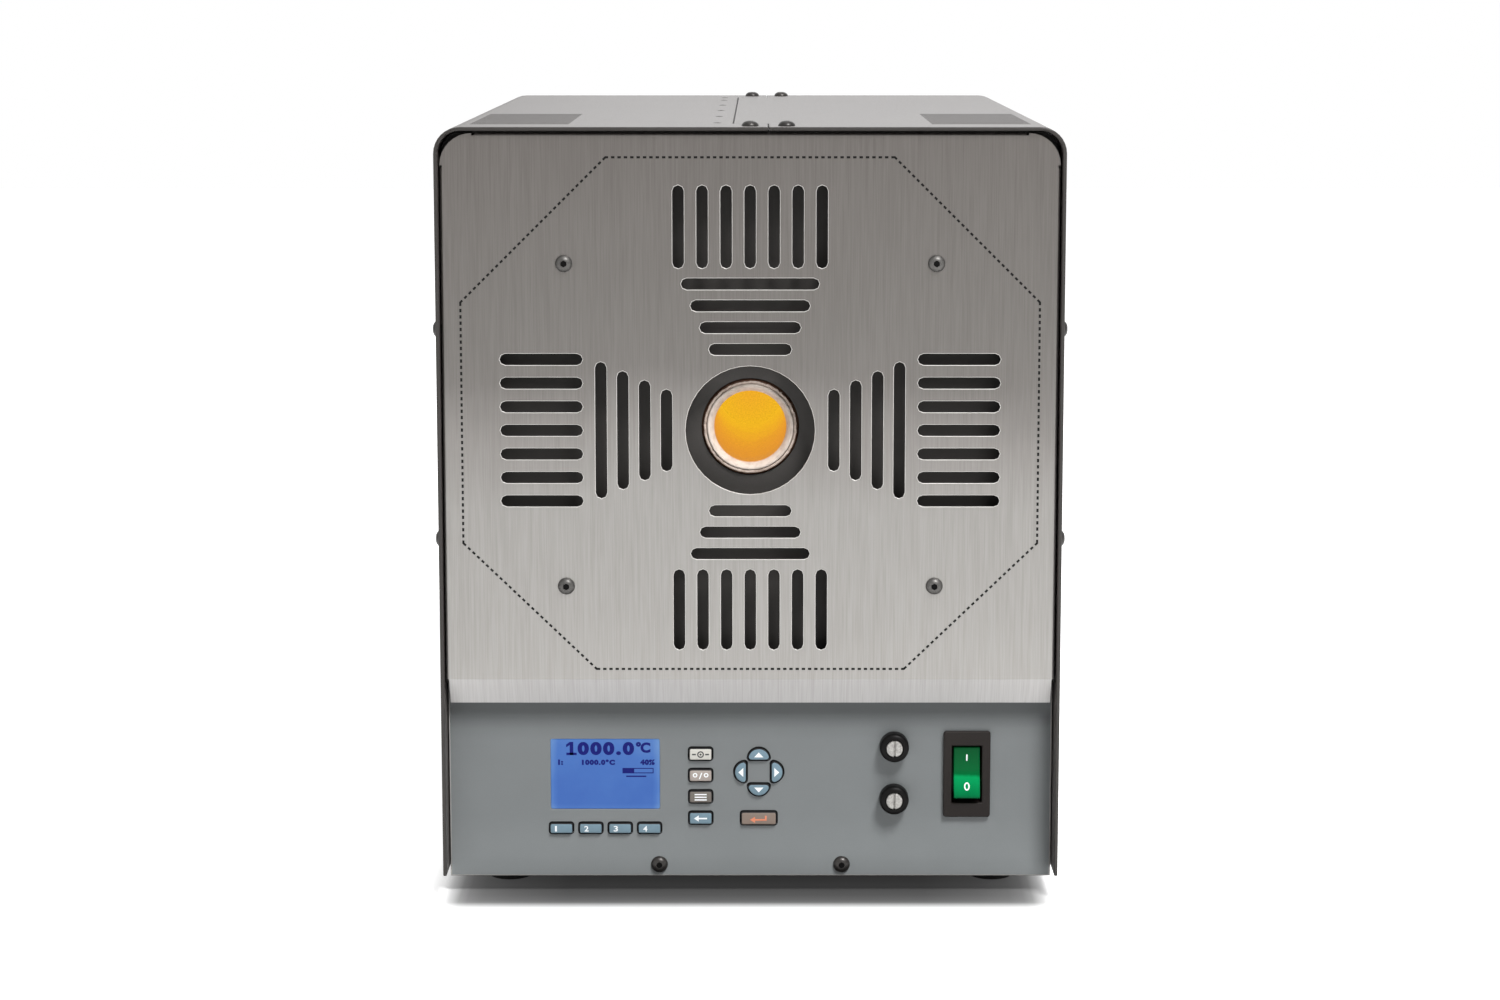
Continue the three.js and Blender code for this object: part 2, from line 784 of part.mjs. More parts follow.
// Front shield: slotted plate, with top and side edges turned back and a lower lip bent back at a slant
function slotField() {
  const width = slotWidth * roundScale;
  const upright = (x, rise, length) =>
    uprightSlot(x * widthScale, tubeHeight + rise * heightScale, length * heightScale, width);
  const level = (x, rise, length) =>
    levelSlot(x * widthScale, tubeHeight + rise * heightScale, length * widthScale, width);
  const spots = Array.from({ length: slotCount }, (_, index) => (index - (slotCount - 1) / 2) * slotPitch);
  const columns = spots.flatMap((x) => [
    upright(x, upperColumnRise, slotLength),
    upright(x, -lowerColumnFall, slotLength),
  ]);
  const sideRows = spots.flatMap((rise) => [
    level(-sideRowX, rise, slotLength),
    level(sideRowX, rise, slotLength),
  ]);
  const lengthAt = (index) => slotLength + index * rowGrowth;
  const rows = (count, side) =>
    Array.from({ length: count }, (_, index) => {
      const rise = upperRowStart + index * rowPitch;
      return level(0, side * rise, lengthAt(index));
    });
  const sideColumns = Array.from({ length: sideColumnCount }, (_, index) => {
    const x = sideColumnStart + index * rowPitch;
    return [upright(-x, 0, lengthAt(index)), upright(x, 0, lengthAt(index))];
  }).flat();
  return [...columns, ...sideRows, ...rows(upperRowCount, 1), ...rows(lowerRowCount, -1), ...sideColumns];
}

{
  const cornerX = shieldHalfWidth - shieldCornerRadius;
  const cornerY = shieldTop - shieldCornerRadius;
  const outline = [
    [shieldHalfWidth, shieldBend],
    ...arc(cornerX, cornerY, shieldCornerRadius, 0, quarter, cornerSteps * 2),
    ...arc(-cornerX, cornerY, shieldCornerRadius, quarter, half, cornerSteps * 2),
    [-shieldHalfWidth, shieldBend],
  ];
  const holes = [
    circle(0, tubeHeight, shieldHoleRadius * roundScale, largeRoundSteps),
    ...shieldScrewPlaces.map(([x, y]) => circle(x, y, screwHoleRadius, smallRoundSteps)),
    ...slotField(),
  ];
  const back = shieldRecess + shieldSheet;
  const plate = sheet(outline, holes, shieldRecess, back);
  const flangeBack = shieldFlangeClearance - wallFlangeFront;
  const topHalf = cornerX - shieldNotchWidth;
  const sideTop = cornerY - shieldNotchWidth;
  const sideInner = shieldHalfWidth - shieldSheet;
  const flanges = joined([
    box([-topHalf, shieldTop - shieldSheet, flangeBack], [topHalf, shieldTop, -shieldRecess]),
    box([-shieldHalfWidth, shieldBend, flangeBack], [-sideInner, sideTop, -shieldRecess]),
    box([sideInner, shieldBend, flangeBack], [shieldHalfWidth, sideTop, -shieldRecess]),
  ]);
  const lipHalfWidth = chassisHalfWidth - chassisSheet - shieldLipSideGap;
  const lipRun = Math.hypot(shieldLipDepth, shieldLipDrop);
  const thickDepth = (shieldSheet * shieldLipDrop) / lipRun;
  const thickRise = (shieldSheet * shieldLipDepth) / lipRun;
  const lip = sideView(
    [
      [shieldRecess, shieldBend],
      [shieldRecess, shieldBend + shieldSheet],
      [back, shieldBend + shieldSheet],
      [shieldRecess + shieldLipDepth + thickDepth, shieldBend - shieldLipDrop + thickRise],
      [shieldRecess + shieldLipDepth, shieldBend - shieldLipDrop],
    ],
    -lipHalfWidth,
    lipHalfWidth,
  );
  const foldBack = shieldRecess + shieldFoldRadius;
  const foldOutside = shieldRecess - overrun;
  const foldTop = shieldTop - shieldFoldRadius;
  const topFold = sideView(
    [
      ...arc(foldBack, foldTop, shieldFoldRadius, quarter, half, cornerSteps),
      [foldOutside, foldTop],
      [foldOutside, shieldTop + overrun],
      [foldBack, shieldTop + overrun],
    ],
    -topHalf,
    topHalf,
  );
  const foldSide = shieldHalfWidth - shieldFoldRadius;
  const sideFolds = [-1, 1].map((side) => {
    const seen = [
      ...arc(foldSide, foldBack, shieldFoldRadius, -quarter, 0, cornerSteps),
      [shieldHalfWidth + overrun, foldBack],
      [shieldHalfWidth + overrun, foldOutside],
      [foldSide, foldOutside],
    ];
    return planView(
      seen.map(([x, depth]) => [side * x, depth]),
      shieldBend,
      sideTop,
    );
  });
  const notches = [-1, 1].flatMap((side) => {
    const topX = side * (cornerX - shieldNotchWidth / 2);
    const sideX = side * shieldHalfWidth;
    return [
      box(
        [topX - shieldNotchWidth / 2, shieldTop - shieldNotchDepth, -back - overrun],
        [topX + shieldNotchWidth / 2, shieldTop + overrun, overrun - shieldRecess],
      ),
      box(
        [sideX - shieldNotchDepth, cornerY - shieldNotchWidth, -back - overrun],
        [sideX + shieldNotchDepth, cornerY, overrun - shieldRecess],
      ),
    ];
  });
  const folded = cut(joined([plate, flanges, lip]), [...notches, topFold, ...sideFolds]);
  front.add(meshOf("front_shield", finishes.shieldSteel, folded));
}

// Screws: four hold the front shield, and at the front two go down through the top and two through each side
const shieldScrewNames = ["upper_left", "upper_right", "lower_left", "lower_right"];
shieldScrewPlaces.forEach(([x, y], index) => {
  const screw = meshOf(
    "shield_screw_" + shieldScrewNames[index],
    finishes.screwSteel,
    screwSolid(shieldScrewLength),
  );
  screw.position.set(x, y, seatGap / 4 - shieldRecess);
  front.add(screw);
});
topScrewXs.forEach((x, index) => {
  const screw = meshOf(
    "top_screw_" + ["left", "right"][index],
    finishes.screwBlack,
    screwSolid(coverScrewLength),
  );
  screw.rotation.x = -quarter;
  screw.position.set(x, coverTop, -coverScrewInset);
  front.add(screw);
});
[-1, 1].forEach((side) => {
  sideScrewDrops.forEach((drop, index) => {
    const name = "side_screw_" + (side < 0 ? "left_" : "right_") + ["upper", "lower"][index];
    const screw = meshOf(name, finishes.screwBlack, screwSolid(coverScrewLength));
    screw.rotation.y = side * quarter;
    screw.position.set((side * caseWidth) / 2, coverTop - drop, -coverScrewInset);
    front.add(screw);
  });
});

// Rear panel, with the fan's grille and the inlet's cut-out
const rearFanX = -fanX;
const rearInletX = -inletX;
const rearScrewPlaces = [-1, 1].flatMap((sideX) =>
  [-1, 1].map((sideY) => [sideX * rearScrewOffset, tubeHeight + sideY * rearScrewOffset]),
);
{
  const grille = Array.from({ length: grilleSlotPairs * 2 - 1 }, (_, index) => {
    const offset = (index - grilleSlotPairs + 1) * grillePitch;
    const reach = Math.sqrt(grilleRadius ** 2 - offset ** 2);
    return uprightSlot(rearFanX + offset, fanY, 2 * reach, grilleSlotWidth);
  });
  const holes = [
    tubeHole,
    ...rearScrewPlaces.map(([x, y]) => circle(x, y, screwHoleRadius, smallRoundSteps)),
    ...grille,
    rectangle(
      rearInletX - inletBodyWidth / 2 - inletCutClearance,
      inletY - inletBodyHeight / 2 - inletCutClearance,
      rearInletX + inletBodyWidth / 2 + inletCutClearance,
      inletY + inletBodyHeight / 2 + inletCutClearance,
    ),
  ];
  const plate = sheet(wallOutline(panelBottom), holes, bulkheadRecess, bulkheadBack);
  const foot = box(
    [-chassisHalfWidth, panelBottom, -bulkheadBack - panelBottomFlange],
    [chassisHalfWidth, panelBottom + panelSheet, -bulkheadRecess],
  );
  const flanges = wallFlanges(panelBottom);
  const whole = joined([plate, foot, flanges, standoffs(rearScrewPlaces)]);
  const rearTopXs = topScrewXs.map((x) => -x);
  rear.add(meshOf("rear_panel", finishes.coverPaint, cut(whole, flangeScrewHoles(rearTopXs))));
}

// Rear shield: a square slotted plate round the tube's back end
{
  const side = rearShieldSide;
  const rows = Array.from({ length: rearRowCount }, (_, index) => {
    const offset = rearColumnStart + index * rowPitch;
    const length = rearSlotLength + index * rearSlotGrowth;
    return [
      levelSlot(0, tubeHeight + offset, length, slotWidth),
      levelSlot(0, tubeHeight - offset, length, slotWidth),
      uprightSlot(offset, tubeHeight, length, slotWidth),
      uprightSlot(-offset, tubeHeight, length, slotWidth),
    ];
  }).flat();
  const holes = [
    circle(0, tubeHeight, shieldHoleRadius, largeRoundSteps),
    ...rearScrewPlaces.map(([x, y]) => circle(x, y, screwHoleRadius, smallRoundSteps)),
    ...rows,
  ];
  const outline = roundedRectangle(0, tubeHeight, side, side, rearShieldCornerRadius);
  const plate = sheet(outline, holes, shieldRecess, shieldRecess + shieldSheet);
  const reach = side / 2;
  const run = reach - rearShieldCornerRadius - shieldNotchWidth;
  const back = -(shieldRecess + rearShieldFlangeDepth);
  const flanges = [-1, 1].flatMap((sign) => {
    const inner = sign * (reach - shieldSheet);
    const outer = sign * reach;
    const low = Math.min(inner, outer);
    const high = Math.max(inner, outer);
    return [
      box([low, tubeHeight - run, back], [high, tubeHeight + run, -shieldRecess]),
      box([-run, tubeHeight + low, back], [run, tubeHeight + high, -shieldRecess]),
    ];
  });
  rear.add(meshOf("rear_shield", finishes.shieldSteel, joined([plate, ...flanges])));
}

// Furnace shelf: it spans from the bulkhead to the rear panel, and its two saddles carry the insulation
{
  const y = caseDepth / 2 - bulkheadBack - seatGap;
  const deck = box([-chassisHalfWidth, -y, shelfTop - chassisSheet], [chassisHalfWidth, y, shelfTop]);
  const saddles = [-1, 1].map((end) => {
    const centre = (end * saddleSpacing) / 2;
    return box(
      [-saddleWidth / 2, centre - saddleThickness / 2, shelfTop - chassisSheet / 2],
      [saddleWidth / 2, centre + saddleThickness / 2, shelfTop + saddleHeight],
    );
  });
  const hollow = new THREE.CylinderGeometry(saddleRadius, saddleRadius, caseDepth, largeRoundSteps);
  hollow.translate(0, 0, tubeHeight);
  const shelf = cut(joined([deck, ...saddles]), [solidOf(hollow)]);
  model.add(meshOf("furnace_shelf", finishes.zincSteel, shelf));
}

// Furnace: what lies round the tube's axis, which runs along Y
const furnace = new THREE.Group();
furnace.position.z = tubeHeight;
model.add(furnace);
{
  const tube = turnedAlongY(
    [
      [tubeBoreRadius, -tubeHalfLength],
      [tubeOuterRadius, -tubeHalfLength],
      [tubeOuterRadius, tubeHalfLength],
      [tubeBoreRadius, tubeHalfLength],
    ],
    largeRoundSteps,
  );
  furnace.add(meshOf("furnace_tube", finishes.tubeCeramic, tube));

  const blockRadius = tubeBoreRadius - seatGap;
  const block = turnedAlongY(
    [
      [0, -blockLength / 2],
      [blockRadius, -blockLength / 2],
      [blockRadius, blockLength / 2],
      [0, blockLength / 2],
    ],
    largeRoundSteps,
  );
  furnace.add(meshOf("isothermal_block", finishes.glow, block));

  const collarMouth = caseDepth / 2 - collarMouthRecess;
  const flangeFront = caseDepth / 2 - bulkheadBack - seatGap;
  const flangeBack = flangeFront - collarThickness;
  const collarProfile = [
    [collarBoreRadius, collarMouth],
    [collarRadius, collarMouth],
    [collarRadius, flangeFront],
    [collarFlangeRadius, flangeFront],
    [collarFlangeRadius, flangeBack],
    [collarBoreRadius, flangeBack],
  ];
  const frontProfile = collarProfile.map(([radius, y]) => [radius, -y]);
  furnace.add(meshOf("front_collar", finishes.packing, turnedAlongY(frontProfile, largeRoundSteps)));
  furnace.add(meshOf("rear_collar", finishes.packing, turnedAlongY(collarProfile, largeRoundSteps)));

  const probeHole = new THREE.CylinderGeometry(
    probeRadius + probeHoleClearance,
    probeRadius + probeHoleClearance,
    insulationRadius,
    smallRoundSteps,
  );
  probeHole.rotateX(quarter);
  probeHole.translate(0, 0, insulationRadius / 2 + tubeBoreRadius);
  const grooves = Array.from({ length: heaterGrooveCount }, (_, index) => {
    const centre = ((index + 1) / (heaterGrooveCount + 1) - 1 / 2) * heaterLength;
    return [
      [heaterBoreRadius, centre - heaterGrooveWidth / 2],
      [heaterBoreRadius + heaterGrooveDepth, centre - heaterGrooveWidth / 2],
      [heaterBoreRadius + heaterGrooveDepth, centre + heaterGrooveWidth / 2],
      [heaterBoreRadius, centre + heaterGrooveWidth / 2],
    ];
  }).flat();
  const heater = turnedAlongY(
    [
      [heaterRadius, -heaterLength / 2],
      [heaterBoreRadius, -heaterLength / 2],
      ...grooves,
      [heaterBoreRadius, heaterLength / 2],
      [heaterRadius, heaterLength / 2],
    ],
    roundSteps,
  );
  furnace.add(meshOf("heater", finishes.fibre, cut(heater, [solidOf(probeHole)])));

  const shoulder = heaterLength / 2 + seatGap;
  const jacket = turnedAlongY(
    [
      [insulationRadius, -insulationHalfLength],
      [collarBoreRadius, -insulationHalfLength],
      [collarBoreRadius, -shoulder],
      [insulationBoreRadius, -shoulder],
      [insulationBoreRadius, shoulder],
      [collarBoreRadius, shoulder],
      [collarBoreRadius, insulationHalfLength],
      [insulationRadius, insulationHalfLength],
    ],
    largeRoundSteps,
  );
  const reach = insulationRadius + overrun;
  const length = insulationHalfLength + overrun;
  const lowerSpace = box([-reach, -length, -reach], [reach, length, seatGap / 2]);
  const upperSpace = box([-reach, -length, -seatGap / 2], [reach, length, reach]);
  const upper = cut(jacket, [lowerSpace, solidOf(probeHole)]);
  furnace.add(meshOf("insulation_upper", finishes.fibre, upper));
  furnace.add(meshOf("insulation_lower", finishes.fibre, cut(jacket, [upperSpace])));

  const headBase = insulationRadius + seatGap;
  const probe = turnedUpright(
    [
      [0, tubeOuterRadius + seatGap],
      [probeRadius, tubeOuterRadius + seatGap],
      [probeRadius, headBase],
      [probeHeadRadius, headBase],
      [probeHeadRadius, headBase + probeHeadHeight],
      [0, headBase + probeHeadHeight],
    ],
    smallRoundSteps,
  );
  furnace.add(meshOf("control_thermocouple", finishes.zincSteel, probe));
}

// Keys: each is a cap in its own hole of the panel, with a rim behind the panel that keeps it in
function arrowOutline(grow, turn) {
  const halfLength = arrowKeyLength / 2 + grow;
  const halfWidth = arrowKeyWidth / 2 + grow;
  const corner = keyCornerRadius + grow;
  const rise = 2 * halfWidth - corner;
  const radius = (halfLength ** 2 / rise + rise) / 2;
  const centreY = halfWidth - radius;
  const edgeAngle = Math.asin((corner - halfWidth - centreY) / radius);
  const points = [
    ...arc(0, centreY, radius, edgeAngle, half - edgeAngle, cornerSteps * 3),
    ...arc(corner - halfLength, corner - halfWidth, corner, half, half + quarter, cornerSteps),
    ...arc(halfLength - corner, corner - halfWidth, corner, half + quarter, half + half, cornerSteps),
  ];
  const spun = points.map(([x, y]) => [
    x * Math.cos(turn) - y * Math.sin(turn),
    x * Math.sin(turn) + y * Math.cos(turn),
  ]);
  return spun.filter(([x, y], index) => {
    const [nextX, nextY] = spun[(index + 1) % spun.length];
    return Math.hypot(nextX - x, nextY - y) > weldDistance;
  });
}

const blockOutline = (width, height) => (grow) =>
  roundedRectangle(0, 0, width + 2 * grow, height + 2 * grow, keyCornerRadius + grow);
const functionKeys = Array.from({ length: functionKeyCount }, (_, index) => ({
  name: "key_f" + (index + 1),
  material: finishes.blueKey,
  x: displayX + (index - (functionKeyCount - 1) / 2) * functionKeyPitch,
  y: panelBottom + functionKeyY,
  outline: blockOutline(functionKeyWidth, functionKeyHeight),
  rim: keyRim,
}));
const columnFinishes = [finishes.whiteKey, finishes.lightTaupeKey, finishes.darkTaupeKey, finishes.blueKey];
const columnKeys = columnKeyNames.map((name, index) => ({
  name,
  material: columnFinishes[index],
  x: columnKeyX,
  y: panelBottom + columnKeyTopY - index * columnKeyPitch,
  outline: blockOutline(columnKeyWidth, columnKeyHeight),
  rim: keyRim,
}));
const arrowKeys = arrowKeyNames.map((name, index) => {
  const angle = index * quarter;
  return {
    name,
    material: finishes.blueKey,
    x: arrowPadX + arrowPadRadius * Math.cos(angle),
    y: panelBottom + arrowPadY + arrowPadRadius * Math.sin(angle),
    outline: (grow) => arrowOutline(grow, angle - quarter),
    rim: arrowKeyRim,
  };
});
const enterKey = {
  name: "key_enter",
  material: finishes.brownKey,
  x: enterKeyX,
  y: panelBottom + enterKeyY,
  outline: blockOutline(enterKeyWidth, enterKeyHeight),
  rim: keyRim,
};
const keys = [...functionKeys, ...columnKeys, ...arrowKeys, enterKey];

keys.forEach((key) => {
  const cap = sheet(key.outline(0), [], panelRecess - keyProud, keyBack);
  const rim = sheet(key.outline(keyClearance + key.rim), [], keyRimFront, keyBack);
  const mesh = meshOf(key.name, key.material, cap.add(rim));
  mesh.position.set(key.x, key.y, 0);
  front.add(mesh);
});

// Control panel
const fuseYs = [fuseUpperY, fuseUpperY - fuseSpacing].map((y) => panelBottom + y);
const switchCentreY = panelBottom + switchY;
const displayCentreY = panelBottom + displayY;
{
  const moved = (points, x, y) => points.map(([px, py]) => [px + x, py + y]);
  const display = roundedRectangle(displayX, displayCentreY, displayWidth, displayHeight, keyCornerRadius);
  const switchCut = rectangle(
    switchX - switchBodyWidth / 2 - switchCutClearance,
    switchCentreY - switchBodyHeight / 2 - switchCutClearance,
    switchX + switchBodyWidth / 2 + switchCutClearance,
    switchCentreY + switchBodyHeight / 2 + switchCutClearance,
  );
  const holes = [
    display,
    switchCut,
    ...keys.map((key) => moved(key.outline(keyClearance), key.x, key.y)),
    ...fuseYs.map((y) => circle(fuseX, y, fuseBarrelRadius + fuseClearance, roundSteps)),
    ...[-1, 1].map((side) =>
      circle(side * panelScrewX, panelBottom + panelScrewHeight, panelScrewHoleRadius, smallRoundSteps),
    ),
  ];
  const outline = rectangle(-chassisHalfWidth, panelBottom, chassisHalfWidth, panelTop);
  const plate = sheet(outline, holes, panelRecess, panelBack);
  const inner = chassisHalfWidth - panelSheet;
  const sideBack = -(panelRecess + panelSideFlange);
  const sideBottom = panUnderside + chassisFlangeHeight + seatGap;
  const sideTop = bulkheadBottom - seatGap;
  const flanges = joined([
    box(
      [-chassisHalfWidth, panelBottom, -(panelRecess + panelBottomFlange)],
      [chassisHalfWidth, panelBottom + panelSheet, -panelRecess],
    ),
    box([-chassisHalfWidth, sideBottom, sideBack], [-inner, sideTop, -panelRecess]),
    box([inner, sideBottom, sideBack], [chassisHalfWidth, sideTop, -panelRecess]),
  ]);
  front.add(meshOf("control_panel", finishes.panelPaint, plate.add(flanges)));
}

// Display window: a pane that fills the panel's hole, with a rim behind it
{
  const paneWidth = displayWidth - 2 * windowClearance;
  const paneHeight = displayHeight - 2 * windowClearance;
  const corner = keyCornerRadius - windowClearance;
  const pane = sheet(
    roundedRectangle(displayX, displayCentreY, paneWidth, paneHeight, corner),
    [],
    panelRecess + windowRecess,
    windowBack + seatGap,
  );
  const rimWidth = displayWidth + 2 * windowRim;
  const rimHeight = displayHeight + 2 * windowRim;
  const rim = sheet(
    roundedRectangle(displayX, displayCentreY, rimWidth, rimHeight, windowRim),
    [],
    windowRimFront + seatGap,
    windowBack + seatGap,
  );
  front.add(meshOf("display_window", finishes.windowGlass, pane.add(rim)));
}

// Panel board: the display module and the key contacts, on posts behind the panel
{
  const keyXs = keys.map((key) => key.x);
  const left = displayX - displayWidth / 2 - boardMargin;
  const right = Math.max(...keyXs) + enterKeyWidth / 2;
  const bottom = panelBottom + functionKeyY - boardMargin;
  const top = displayCentreY + displayHeight / 2 + boardMargin;
  const board = sheet(rectangle(left, bottom, right, top), [], boardFront, boardFront + boardSheet);
  const moduleWidth = displayWidth + 2 * displayModuleMargin;
  const moduleHeight = displayHeight + 2 * displayModuleMargin;
  const module = box(
    [displayX - moduleWidth / 2, displayCentreY - moduleHeight / 2, -boardFront - boardSheet / 2],
    [displayX + moduleWidth / 2, displayCentreY + moduleHeight / 2, -(windowBack + 2 * seatGap)],
  );
  const posts = [
    [left + boardPostInset, bottom + boardPostInset],
    [right - boardPostInset, bottom + boardPostInset],
    [left + boardPostInset, top - boardPostInset],
    [right - boardPostInset, top - boardPostInset],
  ].map(([x, y]) =>
    turned(
      [
        [0, boardFront + boardSheet / 2],
        [boardPostRadius, boardFront + boardSheet / 2],
        [boardPostRadius, panelBack + seatGap],
        [0, panelBack + seatGap],
      ],
      x,
      y,
      smallRoundSteps,
    ),
  );
  front.add(meshOf("panel_board", finishes.boardGreen, joined([board, module, ...posts])));
}

// Fuse holders: a bezel and barrel, a fuse that draws out along its axis and a slotted cap that turns on it
fuseYs.forEach((y, index) => {
  const name = ["upper", "lower"][index];
  const bezelFront = panelRecess - fuseBezelProud;
  const bezelBack = panelRecess - seatGap;
  const capBack = bezelFront - fuseCapProud + fuseCapLength;
  const linkFront = capBack + seatGap;
  const linkBack = linkFront + fuseLinkLength;
  const capBore = fuseCapRadius + fuseClearance;
  const linkBore = fuseLinkRadius + fuseClearance;
  const barrelBack = linkBack + fuseClearance + fuseBarrelWall;
  const holder = turned(
    [
      [capBore, bezelFront],
      [fuseBezelRadius, bezelFront],
      [fuseBezelRadius, bezelBack],
      [fuseBarrelRadius, bezelBack],
      [fuseBarrelRadius, barrelBack],
      [0, barrelBack],
      [0, linkBack + fuseClearance],
      [linkBore, linkBack + fuseClearance],
      [linkBore, capBack + fuseClearance / 2],
      [capBore, capBack + fuseClearance / 2],
    ],
    fuseX,
    y,
    roundSteps,
  );
  front.add(meshOf("fuse_holder_" + name, finishes.blackPlastic, holder));
  const capFront = capBack - fuseCapLength;
  const cap = turned(
    [
      [0, capFront],
      [fuseCapRadius, capFront],
      [fuseCapRadius, capBack],
      [0, capBack],
    ],
    fuseX,
    y,
    roundSteps,
  );
  const slot = box(
    [fuseX - fuseSlotWidth / 2, y - fuseCapRadius - overrun, -(capFront + fuseSlotDepth)],
    [fuseX + fuseSlotWidth / 2, y + fuseCapRadius + overrun, overrun - capFront],
  );
  front.add(meshOf("fuse_cap_" + name, finishes.fuseCapMetal, cap.subtract(slot)));
  const waist = fuseLinkRadius - fuseLinkWaist;
  const link = turned(
    [
      [0, linkFront],
      [fuseLinkRadius, linkFront],
      [fuseLinkRadius, linkFront + fuseLinkEnd],
      [waist, linkFront + fuseLinkEnd],
      [waist, linkBack - fuseLinkEnd],
      [fuseLinkRadius, linkBack - fuseLinkEnd],
      [fuseLinkRadius, linkBack],
      [0, linkBack],
    ],
    fuseX,
    y,
    smallRoundSteps,
  );
  front.add(meshOf("fuse_link_" + name, finishes.fuseGlass, link));
});

// Power switch: a bezel with its body behind the panel, and a rocker whose upper end is pressed in
{
  const bezelFront = panelRecess - seatGap - switchBezelProud;
  const bezel = sheet(
    roundedRectangle(switchX, switchCentreY, switchBezelWidth, switchBezelHeight, switchBezelRadius),
    [],
    bezelFront,
    panelRecess - seatGap,
  );
  const bodyBack = bezelFront + switchBodyDepth;
  const bodyFront = bezelFront + switchBezelProud / 2;
  const body = box(
    [switchX - switchBodyWidth / 2, switchCentreY - switchBodyHeight / 2, -bodyBack],
    [switchX + switchBodyWidth / 2, switchCentreY + switchBodyHeight / 2, -bodyFront],
  );
  const well = box(
    [switchX - switchMouthWidth / 2, switchCentreY - switchMouthHeight / 2, switchFloor - bodyBack],
    [switchX + switchMouthWidth / 2, switchCentreY + switchMouthHeight / 2, overrun - bezelFront],
  );
  front.add(meshOf("switch_bezel", finishes.blackPlastic, bezel.add(body).subtract(well)));

  const tilt = THREE.MathUtils.degToRad(rockerTiltDegrees);
  const flat = [
    [rockerPivotDepth + rockerCrest, rockerHalfHeight],
    [rockerPivotDepth - rockerDip, 0],
    [rockerPivotDepth + rockerCrest, -rockerHalfHeight],
    [-rockerKeelDepth + rockerPivotDepth, -rockerKeelHalfHeight],
    [-rockerKeelDepth + rockerPivotDepth, rockerKeelHalfHeight],
  ];
  const tilted = flat.map(([outward, rise]) => [
    rockerPivotRecess - outward * Math.cos(tilt) + rise * Math.sin(tilt),
    switchCentreY + outward * Math.sin(tilt) + rise * Math.cos(tilt),
  ]);
  const halfRocker = rockerWidth / 2;
  const rocker = sideView(tilted, switchX - halfRocker, switchX + halfRocker);
  const pinHalf = switchMouthWidth / 2 - seatGap;
  const pin = new THREE.CylinderGeometry(rockerPinRadius, rockerPinRadius, 2 * pinHalf, smallRoundSteps);
  pin.rotateZ(quarter);
  pin.translate(switchX, switchCentreY, -rockerPivotRecess);
  front.add(meshOf("switch_rocker", finishes.greenRocker, rocker.add(solidOf(pin))));
}

// Controller board and power relay, on the pan
{
  const frontY = -caseDepth / 2 + bulkheadBack + controllerSetback;
  const low = panTop + seatGap;
  const boardLow = low + controllerPost;
  const boardTop = boardLow + boardSheet;
  const left = controllerX - controllerWidth / 2;
  const right = controllerX + controllerWidth / 2;
  const back = frontY + controllerDepth;
  const inside = boardTop - boardSheet / 2;
  const board = box([left, frontY, boardLow], [right, back, boardTop]);
  const post = boardPostRadius;
  const posts = [left + boardMargin, right - boardMargin].flatMap((x) =>
    [frontY + boardMargin, back - boardMargin].map((y) =>
      box([x - post, y - post, low], [x + post, y + post, inside]),
    ),
  );
  const transformerY = frontY + controllerDepth / 3;
  const transformer = box(
    [controllerX - transformerWidth, transformerY - transformerDepth / 2, inside],
    [controllerX, transformerY + transformerDepth / 2, boardTop + transformerHeight],
  );
  const capacitors = [1, 3].map((step) => {
    const radius = capacitorRadius;
    const can = new THREE.CylinderGeometry(radius, radius, capacitorHeight, smallRoundSteps);
    can.rotateX(quarter);
    can.translate(right - step * (radius + seatGap), transformerY, inside + capacitorHeight / 2);
    return solidOf(can);
  });
  const terminals = box(
    [controllerX - terminalWidth / 2, back - terminalDepth - boardPostInset, inside],
    [controllerX + terminalWidth / 2, back - boardPostInset, boardTop + terminalHeight],
  );
  const whole = joined([board, ...posts, transformer, ...capacitors, terminals]);
  model.add(meshOf("controller_board", finishes.boardGreen, whole));
}
{
  const low = panTop + seatGap;
  const baseTop = low + relayFinHeight + relayBase;
  const left = relayX - relayWidth / 2;
  const right = relayX + relayWidth / 2;
  const frontY = relayY - relayDepth / 2;
  const backY = relayY + relayDepth / 2;
  const base = box([left, frontY, baseTop - relayBase], [right, backY, baseTop]);
  const fins = Array.from({ length: relayFinCount }, (_, index) => {
    const x = left + (index * (relayWidth - relayFinThickness)) / (relayFinCount - 1);
    return box([x, frontY, low], [x + relayFinThickness, backY, baseTop - relayBase / 2]);
  });
  const block = box(
    [relayX - relayBlockWidth / 2, relayY - relayBlockDepth / 2, baseTop - relayBase / 2],
    [relayX + relayBlockWidth / 2, relayY + relayBlockDepth / 2, baseTop + relayBlockHeight],
  );
  model.add(meshOf("power_relay", finishes.aluminium, joined([base, ...fins, block])));
}

